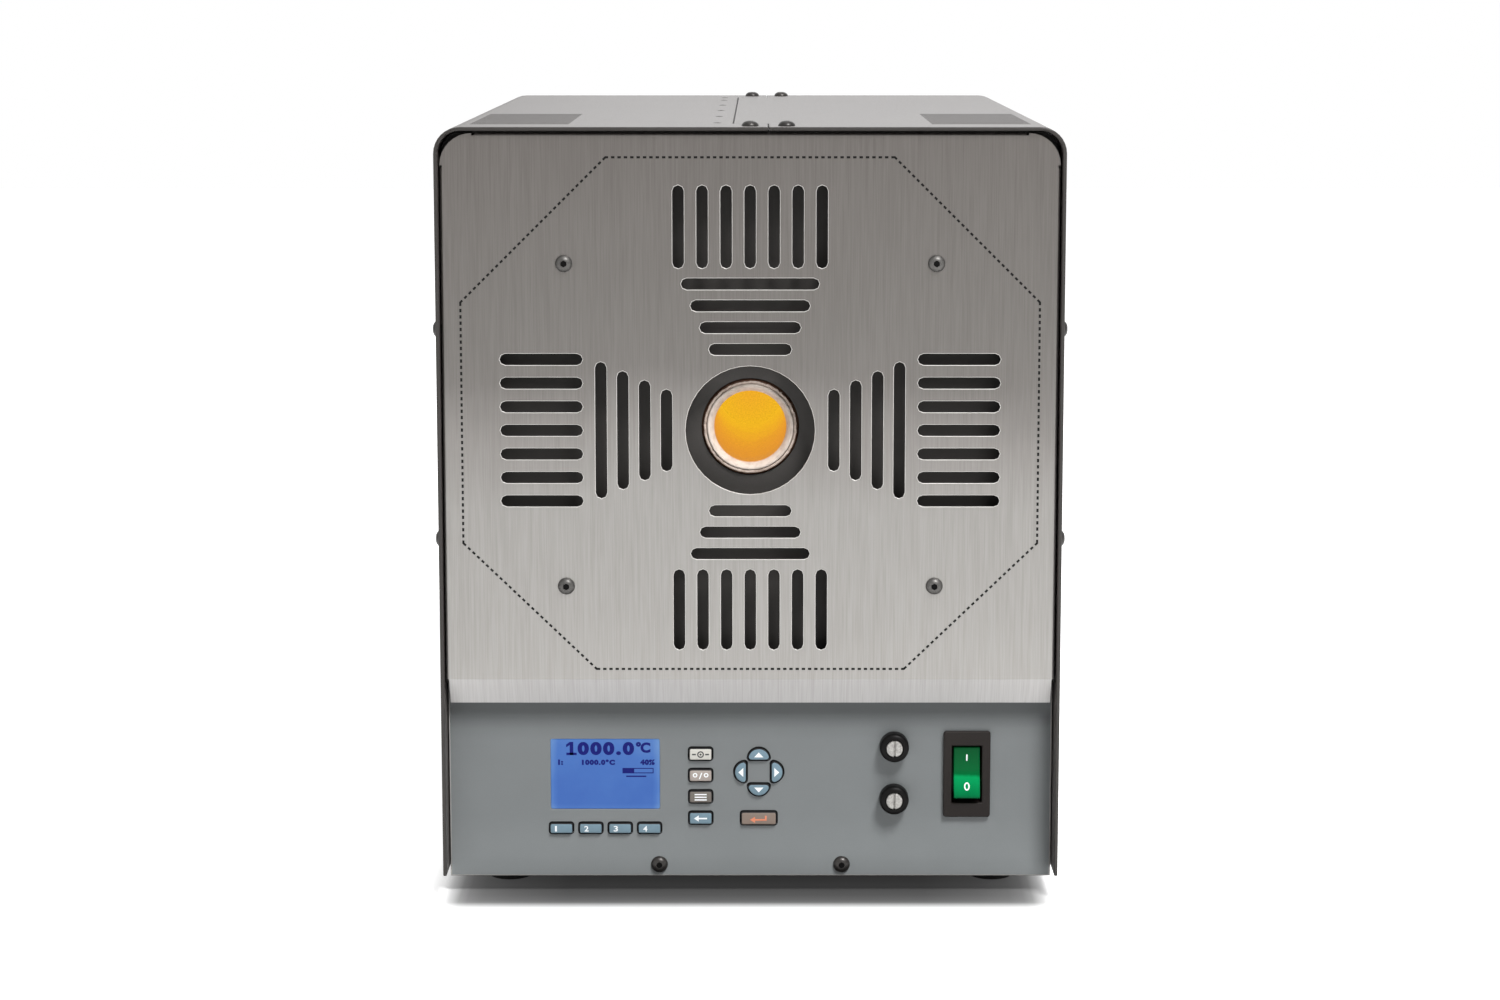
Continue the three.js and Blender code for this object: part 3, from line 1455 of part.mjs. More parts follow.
// Cooling fan: a square frame against the rear panel, and a bladed rotor that turns in it
{
  const outerFace = bulkheadBack + seatGap;
  const innerFace = outerFace + fanThickness;
  const plateFront = innerFace - fanHubPlate;
  const outline = roundedRectangle(rearFanX, fanY, fanSide, fanSide, fanCornerRadius);
  const bore = circle(rearFanX, fanY, fanBoreRadius, largeRoundSteps);
  const ring = sheet(outline, [bore], outerFace, innerFace);
  const hub = sheet(circle(rearFanX, fanY, fanHubRadius, roundSteps), [], plateFront, innerFace);
  const struts = Array.from({ length: fanStrutCount }, (_, index) => {
    const reach = fanBoreRadius - fanHubRadius + fanStrutWidth;
    const strut = new THREE.BoxGeometry(fanStrutWidth, reach, fanHubPlate);
    strut.translate(0, (fanBoreRadius + fanHubRadius) / 2, 0);
    strut.rotateZ((index / fanStrutCount) * (half + half) + quarter / 2);
    strut.translate(rearFanX, fanY, -(plateFront + innerFace) / 2);
    return solidOf(strut);
  });
  rear.add(meshOf("fan_frame", finishes.blackPlastic, joined([ring, hub, ...struts])));

  const rotorBack = plateFront - fanRunningGap;
  const rotorFront = outerFace + fanRunningGap;
  const rotorHub = sheet(circle(rearFanX, fanY, fanHubRadius, roundSteps), [], rotorFront, rotorBack);
  const tipRadius = fanBoreRadius - fanTipClearance;
  const rootRadius = fanHubRadius - fanStrutWidth / 2;
  const blades = Array.from({ length: fanBladeCount }, (_, index) => {
    const blade = new THREE.BoxGeometry(fanBladeChord, tipRadius - rootRadius, fanBladeThickness);
    blade.rotateY(THREE.MathUtils.degToRad(fanBladePitchDegrees));
    blade.translate(0, (tipRadius + rootRadius) / 2, 0);
    blade.rotateZ((index / fanBladeCount) * (half + half));
    blade.translate(rearFanX, fanY, -(rotorFront + rotorBack) / 2);
    return solidOf(blade);
  });
  const sweep = turned(
    [
      [0, rotorFront],
      [tipRadius, rotorFront],
      [tipRadius, rotorBack],
      [0, rotorBack],
    ],
    rearFanX,
    fanY,
    largeRoundSteps,
  );
  const rotor = joined([rotorHub, ...blades]).intersect(sweep);
  rear.add(meshOf("fan_rotor", finishes.blackPlastic, rotor));
}

// Mains inlet: a flanged socket with three pins
{
  const flangeBack = bulkheadRecess - seatGap;
  const flangeFront = flangeBack - inletFlangeThickness;
  const flange = sheet(
    roundedRectangle(rearInletX, inletY, inletFlangeWidth, inletFlangeHeight, inletFlangeThickness),
    [],
    flangeFront,
    flangeBack,
  );
  const bodyBack = bulkheadBack + inletBodyDepth;
  const bodyFront = flangeFront + inletFlangeThickness / 2;
  const body = box(
    [rearInletX - inletBodyWidth / 2, inletY - inletBodyHeight / 2, -bodyBack],
    [rearInletX + inletBodyWidth / 2, inletY + inletBodyHeight / 2, -bodyFront],
  );
  const socketFloor = flangeFront + inletSocketDepth;
  const socket = box(
    [rearInletX - inletSocketWidth / 2, inletY - inletSocketHeight / 2, -socketFloor],
    [rearInletX + inletSocketWidth / 2, inletY + inletSocketHeight / 2, overrun - flangeFront],
  );
  const pins = [
    [-pinSpacing / 2, -pinDrop],
    [pinSpacing / 2, -pinDrop],
    [0, earthPinRise],
  ].map(([x, y]) =>
    box(
      [rearInletX + x - pinWidth / 2, inletY + y - pinHeight / 2, -socketFloor - inletFlangeThickness],
      [rearInletX + x + pinWidth / 2, inletY + y + pinHeight / 2, pinLength - socketFloor],
    ),
  );
  const whole = joined([flange.add(body).subtract(socket), ...pins]);
  rear.add(meshOf("power_inlet", finishes.blackPlastic, whole));
}

export default model;
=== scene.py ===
# Thermocouple calibration furnace: the looks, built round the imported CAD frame.
# Metres. X runs to the right as seen from the front, the front faces -Y and Z is up.
import math
import random

import bmesh
import bpy
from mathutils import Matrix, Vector
from mathutils.geometry import delaunay_2d_cdt


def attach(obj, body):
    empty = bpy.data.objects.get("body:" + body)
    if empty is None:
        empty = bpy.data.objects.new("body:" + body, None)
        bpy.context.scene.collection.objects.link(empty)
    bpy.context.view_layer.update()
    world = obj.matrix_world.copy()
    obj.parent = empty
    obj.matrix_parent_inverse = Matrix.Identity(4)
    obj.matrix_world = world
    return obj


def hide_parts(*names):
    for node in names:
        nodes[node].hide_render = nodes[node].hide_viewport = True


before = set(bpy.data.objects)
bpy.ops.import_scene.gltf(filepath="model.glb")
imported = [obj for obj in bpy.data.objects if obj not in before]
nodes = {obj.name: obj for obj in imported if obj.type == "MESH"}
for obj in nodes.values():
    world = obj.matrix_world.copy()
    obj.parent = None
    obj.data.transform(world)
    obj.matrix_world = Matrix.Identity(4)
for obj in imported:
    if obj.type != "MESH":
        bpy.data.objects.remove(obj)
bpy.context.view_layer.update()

scene = bpy.context.scene
scene.view_settings.view_transform = "Standard"


# Camera: it stands a little above the top's height in front of the case, where the photograph was taken,
# and looks down at the front.
def linked(name, data):
    """A new object of the scene."""
    item = bpy.data.objects.new(name, data)
    scene.collection.objects.link(item)
    return item


camera_pitch = 7.893
camera_data = bpy.data.cameras.new("photograph_camera")
camera_data.sensor_width = 36
camera_data.lens = 76.16
camera_data.shift_x = -0.0068
camera_data.shift_y = -0.05
camera = linked("photograph_camera", camera_data)
camera.location = (0.0055, -1.975, 0.5077)
camera.rotation_euler = (math.radians(90 - camera_pitch), 0, 0)
scene.camera = camera


# Floor, backdrop and lamps: a white studio with a soft key lamp from the upper right, weak ones from the
# left and from behind, and a wide one overhead. Camera, glossy and transmission rays see the backdrop white.
# The floor's colour and glow are painted dark under the case and fade back to white a little way out round
# it, a painted shadow.
def feed(tree, node, inputs):
    """Each named input of the node takes a constant, or a link where it is given an output."""
    for key, value in inputs.items():
        if isinstance(value, bpy.types.NodeSocket):
            tree.links.new(value, node.inputs[key])
        else:
            node.inputs[key].default_value = value


def wired(tree, kind, inputs, **settings):
    """The outputs of a new node with those settings and those constants or links at its inputs."""
    node = tree.nodes.new(kind)
    for name, value in settings.items():
        setattr(node, name, value)
    feed(tree, node, inputs)
    return node.outputs


def worked_out(tree, operation, *values):
    """What one Math node makes of the values."""
    return wired(tree, "ShaderNodeMath", dict(enumerate(values)), operation=operation)[0]


def ranged(tree, value, low, high, to_low=0, to_high=1):
    """The value carried over from the range of low to high, and held inside the new range."""
    return wired(tree, "ShaderNodeMapRange", {
        "Value": value, "From Min": low, "From Max": high, "To Min": to_low, "To Max": to_high,
    })["Result"]


def own_place(tree):
    """The place on the piece in metres, as x, y and z."""
    return wired(tree, "ShaderNodeSeparateXYZ", {"Vector": wired(tree, "ShaderNodeTexCoord", {})["Object"]})


def tone(red, green, blue):
    """A colour written in 0 to 255 as the eye sees it."""
    linear = []
    for part in (red, green, blue):
        part /= 255
        linear.append(part / 12.92 if part <= 0.04045 else ((part + 0.055) / 1.055) ** 2.4)
    return (*linear, 1)


def ramp(tree, value, stops):
    """Colours along a value. Each stop is a position with one linear grey, or with the parts of a tone."""
    node = tree.nodes.new("ShaderNodeValToRGB")
    elements = node.color_ramp.elements
    while len(elements) < len(stops):
        elements.new(0.5)
    for element, (position, *parts) in zip(elements, stops):
        element.position = position
        element.color = tone(*parts) if len(parts) == 3 else (*parts, *parts, *parts, 1)
    feed(tree, node, {"Fac": value})
    return node.outputs["Color"]


def coat(name, inputs):
    """A new material, its tree and its shader, which takes those inputs."""
    material = bpy.data.materials.new(name)
    material.use_nodes = True
    shader = material.node_tree.nodes["Principled BSDF"]
    feed(material.node_tree, shader, inputs)
    return material, material.node_tree, shader


def seen_ray(tree):
    """One where a camera, glossy or transmission ray looks, or else zero."""
    rays = wired(tree, "ShaderNodeLightPath", {})
    direct = worked_out(tree, "MAXIMUM", rays["Is Camera Ray"], rays["Is Glossy Ray"])
    return worked_out(tree, "MAXIMUM", direct, rays["Is Transmission Ray"])


white = (1, 1, 1, 1)
ambient = 0.1
world = bpy.data.worlds.new("white_studio")
world.use_nodes = True
scene.world = world
air = world.node_tree
feed(air, air.nodes["Background"], {"Color": white, "Strength": ranged(air, seen_ray(air), 0, 1, ambient)})

floor_glow = 0.85
floor_drop = 0.0003
reach = 6
shadow_shift = 0.0025
floor_mesh = bpy.data.meshes.new("floor")
floor_corners = [(x * reach, y * reach, -floor_drop) for x, y in ((-1, -1), (1, -1), (1, 1), (-1, 1))]
floor_mesh.from_pydata(floor_corners, [], [(0, 1, 2, 3)])
floor = linked("floor", floor_mesh)
floor_paint, tree, matt = coat("white_floor", {"Roughness": 0.9, "Emission Color": white})
x, y, _ = own_place(tree)
ahead = ranged(tree, worked_out(tree, "ABSOLUTE", y), 0.2, 0.4)
beside = ranged(tree, worked_out(tree, "ABSOLUTE", worked_out(tree, "ADD", x, shadow_shift)), 0.1, 0.18)
# Painted shadow: darkest under the case, fading out in front of it, behind it and at its sides.
front_shade = ramp(tree, ahead, (
    (0, 0.03), (0.1, 0.04), (0.15, 0.03), (0.2, 0.035), (0.25, 0.052), (0.272, 0.08), (0.302, 0.31),
    (0.33, 0.55), (0.41, 0.78), (1, 1),
))
side_shade = ramp(tree, beside, (
    (0, 0), (0.4, 0.02), (0.6, 0.04), (0.7, 0.07), (0.76, 0.13), (0.83, 0.35), (0.9, 0.7), (1, 1),
))
shade = ranged(tree, side_shade, 0, 1, front_shade)
lift = worked_out(tree, "MULTIPLY", seen_ray(tree), floor_glow)
feed(tree, matt, {"Base Color": shade, "Emission Strength": worked_out(tree, "MULTIPLY", shade, lift)})
floor_mesh.materials.append(floor_paint)

lamp_target = Vector((0, 0, 0.22))
for name, place, size, power in (
    ("key_lamp", (1.3, -2.55, 3.85), 1.3, 255),
    ("left_lamp", (-1.9, -1.6, 0.9), 1.4, 2.5),
    ("top_lamp", (0.1, 0.1, 4.0), 2.6, 25),
    ("back_lamp", (0.3, 2.3, 1.7), 1.4, 8),
):
    lamp_data = bpy.data.lights.new(name, "AREA")
    lamp_data.size = size
    lamp_data.energy = power
    lamp = linked(name, lamp_data)
    lamp.location = place
    lamp.rotation_mode = "QUATERNION"
    lamp.rotation_quaternion = (lamp_target - Vector(place)).to_track_quat("-Z", "Y")


# Covers: two bent sheets in a dark warm-grey satin paint with a fine grain. Each is a copy of its solid with
# its edges rounded, and meets the other at the stepped seam.
def noise(tree, scale, detail=3, stretch=(1, 1, 1)):
    """Noise over the piece's own place in metres, scale being its cells in a metre."""
    place = wired(tree, "ShaderNodeTexCoord", {})["Object"]
    mapped = wired(tree, "ShaderNodeMapping", {"Vector": place, "Scale": stretch})["Vector"]
    return wired(tree, "ShaderNodeTexNoise", {"Vector": mapped, "Scale": scale, "Detail": detail})["Fac"]


def spread(tree, value, low, high):
    """Noise, which keeps near one half, spread between low and high."""
    return ranged(tree, value, 0.3, 0.7, low, high)


def relief(tree, height, distance, strength=0.6):
    """The shader's normal under bumps of that height in metres."""
    return wired(tree, "ShaderNodeBump", {"Distance": distance, "Strength": strength, "Height": height})[0]


def finish_of(name, dark, light, rough, metallic=0, cells=900, bump=0.00004, mottle=25, shine=0.5):
    """A finish whose colour drifts slowly between two tones, over a finer grain in gloss and relief."""
    material, tree, shader = coat(name, {"Metallic": metallic, "Specular IOR Level": shine})
    fine = noise(tree, cells)
    slow = worked_out(tree, "MULTIPLY", noise(tree, mottle, 5), 0.55)
    drift = worked_out(tree, "MULTIPLY_ADD", fine, 0.45, slow)
    feed(tree, shader, {
        "Base Color": ramp(tree, drift, ((0.3, *dark), (0.7, *light))),
        "Roughness": spread(tree, fine, rough - 0.06, rough + 0.06),
        "Normal": relief(tree, fine, bump),
    })
    return material


def dress(mesh, *finishes):
    """The mesh takes these finishes and no others."""
    mesh.materials.clear()
    for finish in finishes:
        mesh.materials.append(finish)


def merged_copy(node_name, piece_name, *finishes):
    """The node's solid as one closed mesh in those finishes, ready for rounding."""
    mesh = nodes[node_name].data.copy()
    mesh.name = piece_name
    dress(mesh, *finishes)
    if "custom_normal" in mesh.attributes:
        mesh.attributes.remove(mesh.attributes["custom_normal"])
    shell = bmesh.new()
    shell.from_mesh(mesh)
    bmesh.ops.remove_doubles(shell, verts=shell.verts, dist=0.000002)
    for face in shell.faces:
        face.smooth = True
    shell.to_mesh(mesh)
    shell.free()
    return linked(piece_name, mesh)


def keep_even(piece):
    """Flat faces stay flat in the light beside rounded edges."""
    even = piece.modifiers.new("even_light", "WEIGHTED_NORMAL")
    even.keep_sharp = True


def round_edges(piece, width, edge_material=-1, segments=2, sharpness=32):
    """Rounds the edges that are sharper than that many degrees."""
    piece.data.set_sharp_from_angle(angle=math.radians(sharpness))
    bevel = piece.modifiers.new("rounded_edges", "BEVEL")
    bevel.width = width
    bevel.segments = segments
    bevel.limit_method = "ANGLE"
    bevel.angle_limit = math.radians(sharpness)
    bevel.use_clamp_overlap = False
    bevel.material = edge_material
    keep_even(piece)


def fit(piece, body, slot, *replaced):
    """The piece rides on its body and stands for its nodes, which are hidden. The slot is not used."""
    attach(piece, body)
    if replaced:
        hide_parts(*replaced)


def fit_rounded(node_name, piece_name, width, finish, body, slot, segments=2):
    """The node's solid in one finish with its edges rounded, fitted in its place."""
    piece = merged_copy(node_name, piece_name, finish)
    round_edges(piece, width, segments=segments)
    fit(piece, body, slot, node_name)


cover_front = -0.249
cover_paint = finish_of("cover_paint", (72, 67, 65), (79, 74, 72), 0.4, cells=1500, bump=0.00003, mottle=9,
                        shine=0.45)
# The covers' front edges take a darker copy of the cover paint, painted shade on them; the seam rivets take
# it too.
cover_edge = finish_of("cover_edge", (46, 43, 41), (56, 53, 51), 0.4, cells=1500, bump=0.00002, shine=0.3)
for side in ("left", "right"):
    cover = merged_copy(side + "_cover", side + "_cover_sheet", cover_paint, cover_edge)
    for polygon in cover.data.polygons:
        polygon.material_index = int(polygon.normal.y < -0.9 and polygon.center.y < cover_front)
    round_edges(cover, 0.0005, 1)
    fit(cover, "housing", "cover_paint", side + "_cover")
zinc = finish_of("zinc_plate", (150, 152, 154), (182, 184, 186), 0.38, 0.85, cells=500)
for name in ("seam_strip", "base_chassis", "furnace_shelf"):
    dress(nodes[name].data, zinc)


# Bulkhead: the dark wall behind the shield, a copy of its solid in matt charcoal paint, with the standoffs
# that the shield's screws go into.
charcoal = finish_of("charcoal_paint", (50, 48, 46), (62, 59, 57), 0.62, cells=1200, bump=0.00003, shine=0.3)
bulkhead = merged_copy("front_bulkhead", "charcoal_bulkhead", charcoal)
bulkhead.data.set_sharp_from_angle(angle=math.radians(32))
fit(bulkhead, "housing", "dark_paint", "front_bulkhead")


# Front shield: a stainless sheet brushed up and down, with lighter steel on the edges round its slots and
# its hole, a painted highlight. Its colour is painted darker towards the top and lighter towards the bottom,
# and lighter still on its lip, a painted reflection.
def loops_round(faces):
    """The closed runs of points round a set of faces that lie in one plane."""
    inside = set(faces)
    after = {}
    for face in faces:
        for loop in face.loops:
            if sum(1 for other in loop.edge.link_faces if other in inside) == 1:
                after[loop.vert] = loop.link_loop_next.vert
    runs = []
    while after:
        first = next(iter(after))
        run = [first]
        here = after.pop(first)
        while here is not first:
            run.append(here)
            here = after.pop(here)
        runs.append(run)
    return runs


def soften_plate(piece, face_y, facing, hole_width, rim_width, edge_material=0, rim_material=0):
    """Rounds the holes and the rim of a flat face that looks along facing on Y, and fills it anew."""
    segments = 4
    shell = bmesh.new()
    shell.from_mesh(piece.data)
    flat = [
        face for face in shell.faces
        if face.normal.y * facing > 0.999 and all(abs(v.co.y - face_y) < 0.00001 for v in face.verts)
    ]
    flat_material = flat[0].material_index
    runs = loops_round(flat)
    widest = max(runs, key=lambda run: max(v.co.x for v in run) - min(v.co.x for v in run))
    bmesh.ops.delete(shell, geom=flat, context="FACES")
    for run in runs:
        width = rim_width if run is widest else hole_width
        if not width:
            continue
        places = [Vector((vertex.co.x * -facing, vertex.co.z)) for vertex in run]
        count = len(places)
        inward = []
        for index, here in enumerate(places):
            before = (here - places[index - 1]).normalized()
            ahead = (places[(index + 1) % count] - here).normalized()
            left = Vector((-before.y, before.x)) + Vector((-ahead.y, ahead.x))
            inward.append(left / max(1 + before.dot(ahead), 0.4))
        previous = list(run)
        for vertex in run:
            vertex.co.y -= facing * width
        for step in range(1, segments + 1):
            turn = math.pi / 2 * step / segments
            ring = []
            for here, side in zip(places, inward):
                spot = here + side * width * (1 - math.cos(turn))
                y = face_y - facing * width * (1 - math.sin(turn))
                ring.append(shell.verts.new((spot.x * -facing, y, spot.y)))
            for index in range(count):
                beside = (index + 1) % count
                face = shell.faces.new((previous[index], previous[beside], ring[beside], ring[index]))
                face.smooth = True
                face.material_index = rim_material if run is widest else edge_material
            previous = ring
        run[:] = previous
    corners = []
    owners = []
    edges = []
    for run in runs:
        start = len(corners)
        corners += run
        owners += [True if run is widest else start] * len(run)
        edges += [(start + index, start + (index + 1) % len(run)) for index in range(len(run))]
    filled = delaunay_2d_cdt([Vector((v.co.x * -facing, v.co.z)) for v in corners], edges, [], 1, 0.0000001)
    for triangle in filled[2]:
        picked = [filled[3][index][0] for index in triangle]
        if owners[picked[0]] is not True and len({owners[index] for index in picked}) == 1:
            continue
        face = shell.faces.new([corners[index] for index in picked])
        face.smooth = False
        face.material_index = flat_material
    shell.to_mesh(piece.data)
    shell.free()
    piece.data.set_sharp_from_angle(angle=math.radians(26))
    keep_even(piece)


def blended(tree, share, first, second, kind="MIX"):
    """Two colours mixed or multiplied, by the second one's share."""
    return wired(tree, "ShaderNodeMix", {"Factor": share, 6: first, 7: second}, data_type="RGBA",
                 blend_type=kind)[2]


def stirred(tree, total, value, share):
    """The total moved up or down with the noise, by the share at most."""
    return worked_out(tree, "ADD", total, ranged(tree, value, 0, 1, -share, share))


def brushed(name, stops, low_z, high_z):
    """Steel whose tone goes by height through the stops, a painted reflection, under hair lines and wider
    streaks.
    """
    material, tree, shader = coat(name, {"Metallic": 0.8})
    wide = noise(tree, 420, 4, (1, 0.04, 0.04))
    hair = noise(tree, 1700, 2, (1, 0.02, 0.02))
    height = ranged(tree, own_place(tree)[2], low_z, high_z)
    height = stirred(tree, height, noise(tree, 9, 4), 0.09)
    height = stirred(tree, height, wide, 0.035)
    lines = worked_out(tree, "MULTIPLY_ADD", hair, 0.6, worked_out(tree, "MULTIPLY", wide, 0.4))
    scored = ramp(tree, lines, ((0.34, 236, 235, 234), (0.62, 255, 255, 255)))
    feed(tree, shader, {
        "Base Color": blended(tree, 1, ramp(tree, height, stops), scored, "MULTIPLY"),
        "Roughness": spread(tree, wide, 0.36, 0.44),
        "Normal": relief(tree, hair, 0.00002, 0.4),
    })
    return material


shield_face = -0.247
lip_top = 0.1253
# Painted reflection: the steel's tone is set by height, darker towards the top and lighter towards the
# bottom.
shield_steel = brushed("brushed_shield", (
    (0, 151, 149, 146), (0.13, 146, 144, 141), (0.34, 143, 141, 138), (0.45, 131, 128, 125),
    (0.56, 111, 108, 105), (0.66, 108, 105, 102), (1, 103, 99, 96),
), 0.12, 0.43)
# The lip takes a lighter copy of the steel, a painted reflection of the floor.
lip_steel = brushed("brushed_lip", ((0, 177, 176, 175), (1, 172, 170, 169)), 0.10, 0.13)
# The edges round the slots and the hole take a lighter steel, a painted highlight.
bright_edge = finish_of("bright_cut_edge", (184, 182, 178), (212, 210, 206), 0.4, 0.35)
shield = merged_copy("front_shield", "slotted_shield", shield_steel, bright_edge, lip_steel)
soften_plate(shield, shield_face, -1, 0.0003, 0, 1)
# The lip's faces take the lighter steel of the painted reflection.
for polygon in shield.data.polygons:
    if polygon.center.z < lip_top and polygon.normal.y < -0.5:
        polygon.material_index = 2
fit(shield, "housing", "shield_steel", "front_shield")


# Dashed line: eight straight runs of short black printed dashes round the slots, a hair proud of the shield.
# Each run starts and ends a little short of its corners.
def node_group(name, **sockets):
    """A geometry tree with those inputs, the outputs of its input node, and its output node."""
    group = bpy.data.node_groups.new(name, "GeometryNodeTree")
    for label, kind in (("Geometry", "Geometry"), *sockets.items()):
        group.interface.new_socket(label, in_out="INPUT", socket_type="NodeSocket" + kind)
    group.interface.new_socket("Geometry", in_out="OUTPUT", socket_type="NodeSocketGeometry")
    return group, group.nodes.new("NodeGroupInput").outputs, group.nodes.new("NodeGroupOutput")


def end_group(group, output, points, shape, rotation, finish):
    """The tree ends with the shape set on its points, made real and in the finish."""
    placed = wired(group, "GeometryNodeInstanceOnPoints", {
        "Points": points, "Instance": shape, "Rotation": rotation,
    })[0]
    real = wired(group, "GeometryNodeRealizeInstances", {"Geometry": placed})[0]
    coated = wired(group, "GeometryNodeSetMaterial", {"Geometry": real, "Material": finish})[0]
    feed(group, output, {"Geometry": coated})


def evaluated_mesh(item):
    """The object's shape, with what its modifiers or its text make of it, as a plain mesh."""
    bpy.context.view_layer.update()
    graph = bpy.context.evaluated_depsgraph_get()
    return bpy.data.meshes.new_from_object(item.evaluated_get(graph))


def grow(piece, group, values):
    """Runs the tree on the piece with those named values, and keeps the result as its plain mesh."""
    modifier = piece.modifiers.new(group.name, "NODES")
    modifier.node_group = group
    for item in group.interface.items_tree:
        if item.in_out == "INPUT" and item.name in values:
            modifier[item.identifier] = values[item.name]
    mesh = evaluated_mesh(piece)
    piece.modifiers.remove(modifier)
    piece.data = mesh
    mesh.name = piece.name
    return piece


dash_tree, given, dash_end = node_group(
    "dashes_along_a_line", Pitch="Float", Length="Float", Width="Float", Thickness="Float", Ink="Material",
)
line = wired(dash_tree, "GeometryNodeMeshToCurve", {"Mesh": given["Geometry"]})[0]
spaced = wired(dash_tree, "GeometryNodeResampleCurve", {"Curve": line, "Length": given["Pitch"]},
               mode="LENGTH")[0]
dash_size = wired(dash_tree, "ShaderNodeCombineXYZ", {
    "X": given["Length"], "Y": given["Thickness"], "Z": given["Width"],
})[0]
dash = wired(dash_tree, "GeometryNodeMeshCube", {"Size": dash_size})["Mesh"]
along = wired(dash_tree, "GeometryNodeInputTangent", {})[0]
aim = wired(dash_tree, "FunctionNodeAlignEulerToVector", {"Vector": along}, axis="X", pivot_axis="Y")[0]
end_group(dash_tree, dash_end, spaced, dash, aim, given["Ink"])

ink = finish_of("black_ink", (6, 6, 5), (13, 12, 11), 0.7, cells=3000, bump=0.00001, shine=0.2)
tube_height = 0.2651
first_gap, last_gap = 0.0006, 0.001
corners = (
    (-0.0787, 0.1499), (0.0787, 0.1499), (0.1585, 0.0707), (0.1585, -0.0629),
    (0.0853, -0.1338), (-0.0853, -0.1338), (-0.1585, -0.0629), (-0.1585, 0.0707),
)
line_mesh = bpy.data.meshes.new("dashed_line")
line_points = []
for index, (x, rise) in enumerate(corners):
    next_x, next_rise = corners[(index + 1) % len(corners)]
    run = Vector((next_x - x, 0, next_rise - rise))
    start = Vector((x, shield_face, tube_height + rise)) + run.normalized() * first_gap
    line_points += [start, start + run - run.normalized() * (first_gap + last_gap)]
line_mesh.from_pydata(line_points, [(start, start + 1) for start in range(0, len(line_points), 2)], [])
dashed_line = grow(linked("dashed_line", line_mesh), dash_tree, {
    "Pitch": 0.00344, "Length": 0.0019, "Width": 0.0012, "Thickness": 0.00006, "Ink": ink,
})
fit(dashed_line, "housing", "screw_black")


# Furnace tube: white ceramic whose mouth is coned inwards and chipped round its edge, and whose bore and
# block glow orange. A ring of rough packing holds it in the bulkhead.
def closed_mesh(name, points, faces, smooth=True, weld=False):
    """A closed shell of those points and faces, turned outwards."""
    mesh = bpy.data.meshes.new(name)
    mesh.from_pydata(points, [], faces)
    shell = bmesh.new()
    shell.from_mesh(mesh)
    if weld:
        bmesh.ops.remove_doubles(shell, verts=shell.verts, dist=0.0000005)
        bmesh.ops.dissolve_degenerate(shell, edges=shell.edges, dist=0.0000001)
    bmesh.ops.recalc_face_normals(shell, faces=shell.faces)
    for face in shell.faces:
        face.smooth = smooth
    shell.to_mesh(mesh)
    shell.free()
    return mesh


def closed_piece(name, points, faces, *finishes, smooth=True, weld=False):
    """A closed shell in those finishes, as a piece of its own."""
    mesh = closed_mesh(name, points, faces, smooth, weld)
    dress(mesh, *finishes)
    return linked(name, mesh)


def turned(name, profile, centre, steps, *finishes):
    """A shell turned about the line through centre along Y, its profile drawn as radius and y."""
    points = []
    faces = []
    count = len(profile)
    for step in range(steps):
        angle = 2 * math.pi * step / steps
        points += [
            (centre[0] + radius * math.cos(angle), y, centre[1] + radius * math.sin(angle))
            for radius, y in profile
        ]
        here = step * count
        there = (step + 1) % steps * count
        for index in range(count):
            after = (index + 1) % count
            faces.append((here + index, here + after, there + after, there + index))
    return closed_piece(name, points, faces, *finishes, weld=True)


def glowing(name, low, high, along_axis, colours, cold, cold_from, cold_to):
    """Hot ceramic whose light goes through the colours between low and high, measured along the tube's axis
    or out from it. Towards the mouth it is cold."""
    material, tree, shader = coat(name, {"Roughness": 0.8, "Specular IOR Level": 0.1})
    x, y, z = own_place(tree)
    depth = worked_out(tree, "ABSOLUTE", y)
    rise = worked_out(tree, "SUBTRACT", z, tube_height)
    squares = [worked_out(tree, "MULTIPLY", part, part) for part in (x, rise)]
    radius = worked_out(tree, "SQRT", worked_out(tree, "ADD", *squares))
    share = ranged(tree, depth if along_axis else radius, low, high)
    for cells, stir in ((650, 0.28), (60, 0.12)):
        share = stirred(tree, share, noise(tree, cells), stir)
    inside = worked_out(tree, "LESS_THAN", radius, bore + 0.0002)
    heat = worked_out(tree, "MULTIPLY", ranged(tree, depth, cold_from, cold_to), inside)
    speckles = spread(tree, noise(tree, 1100, 2), 0.87, 1.09)
    patches = noise(tree, 260, 5)
    bare = ramp(tree, patches, ((0.3, *cold[0]), (0.55, *cold[1])))
    feed(tree, shader, {
        "Base Color": blended(tree, heat, bare, (0, 0, 0, 1)),
        "Emission Color": ramp(tree, share, colours),
        "Emission Strength": worked_out(tree, "MULTIPLY", heat, speckles),
        "Normal": relief(tree, patches, 0.0002, 0.5),
    })
    return material


def uneven(seed, count, fewest, most, weakest, calm):
    """A rough wave round the tube's axis: its height at a place, summed from sines and made calmer."""
    random.seed(seed)
    waves = [
        (random.randint(fewest, most), random.uniform(0, 6.28), random.uniform(weakest, 1))
        for _ in range(count)
    ]

    def height(x, z):
        angle = math.atan2(z - tube_height, x)
        return sum(math.sin(turns * angle + phase) * size for turns, phase, size in waves) / calm
    return height


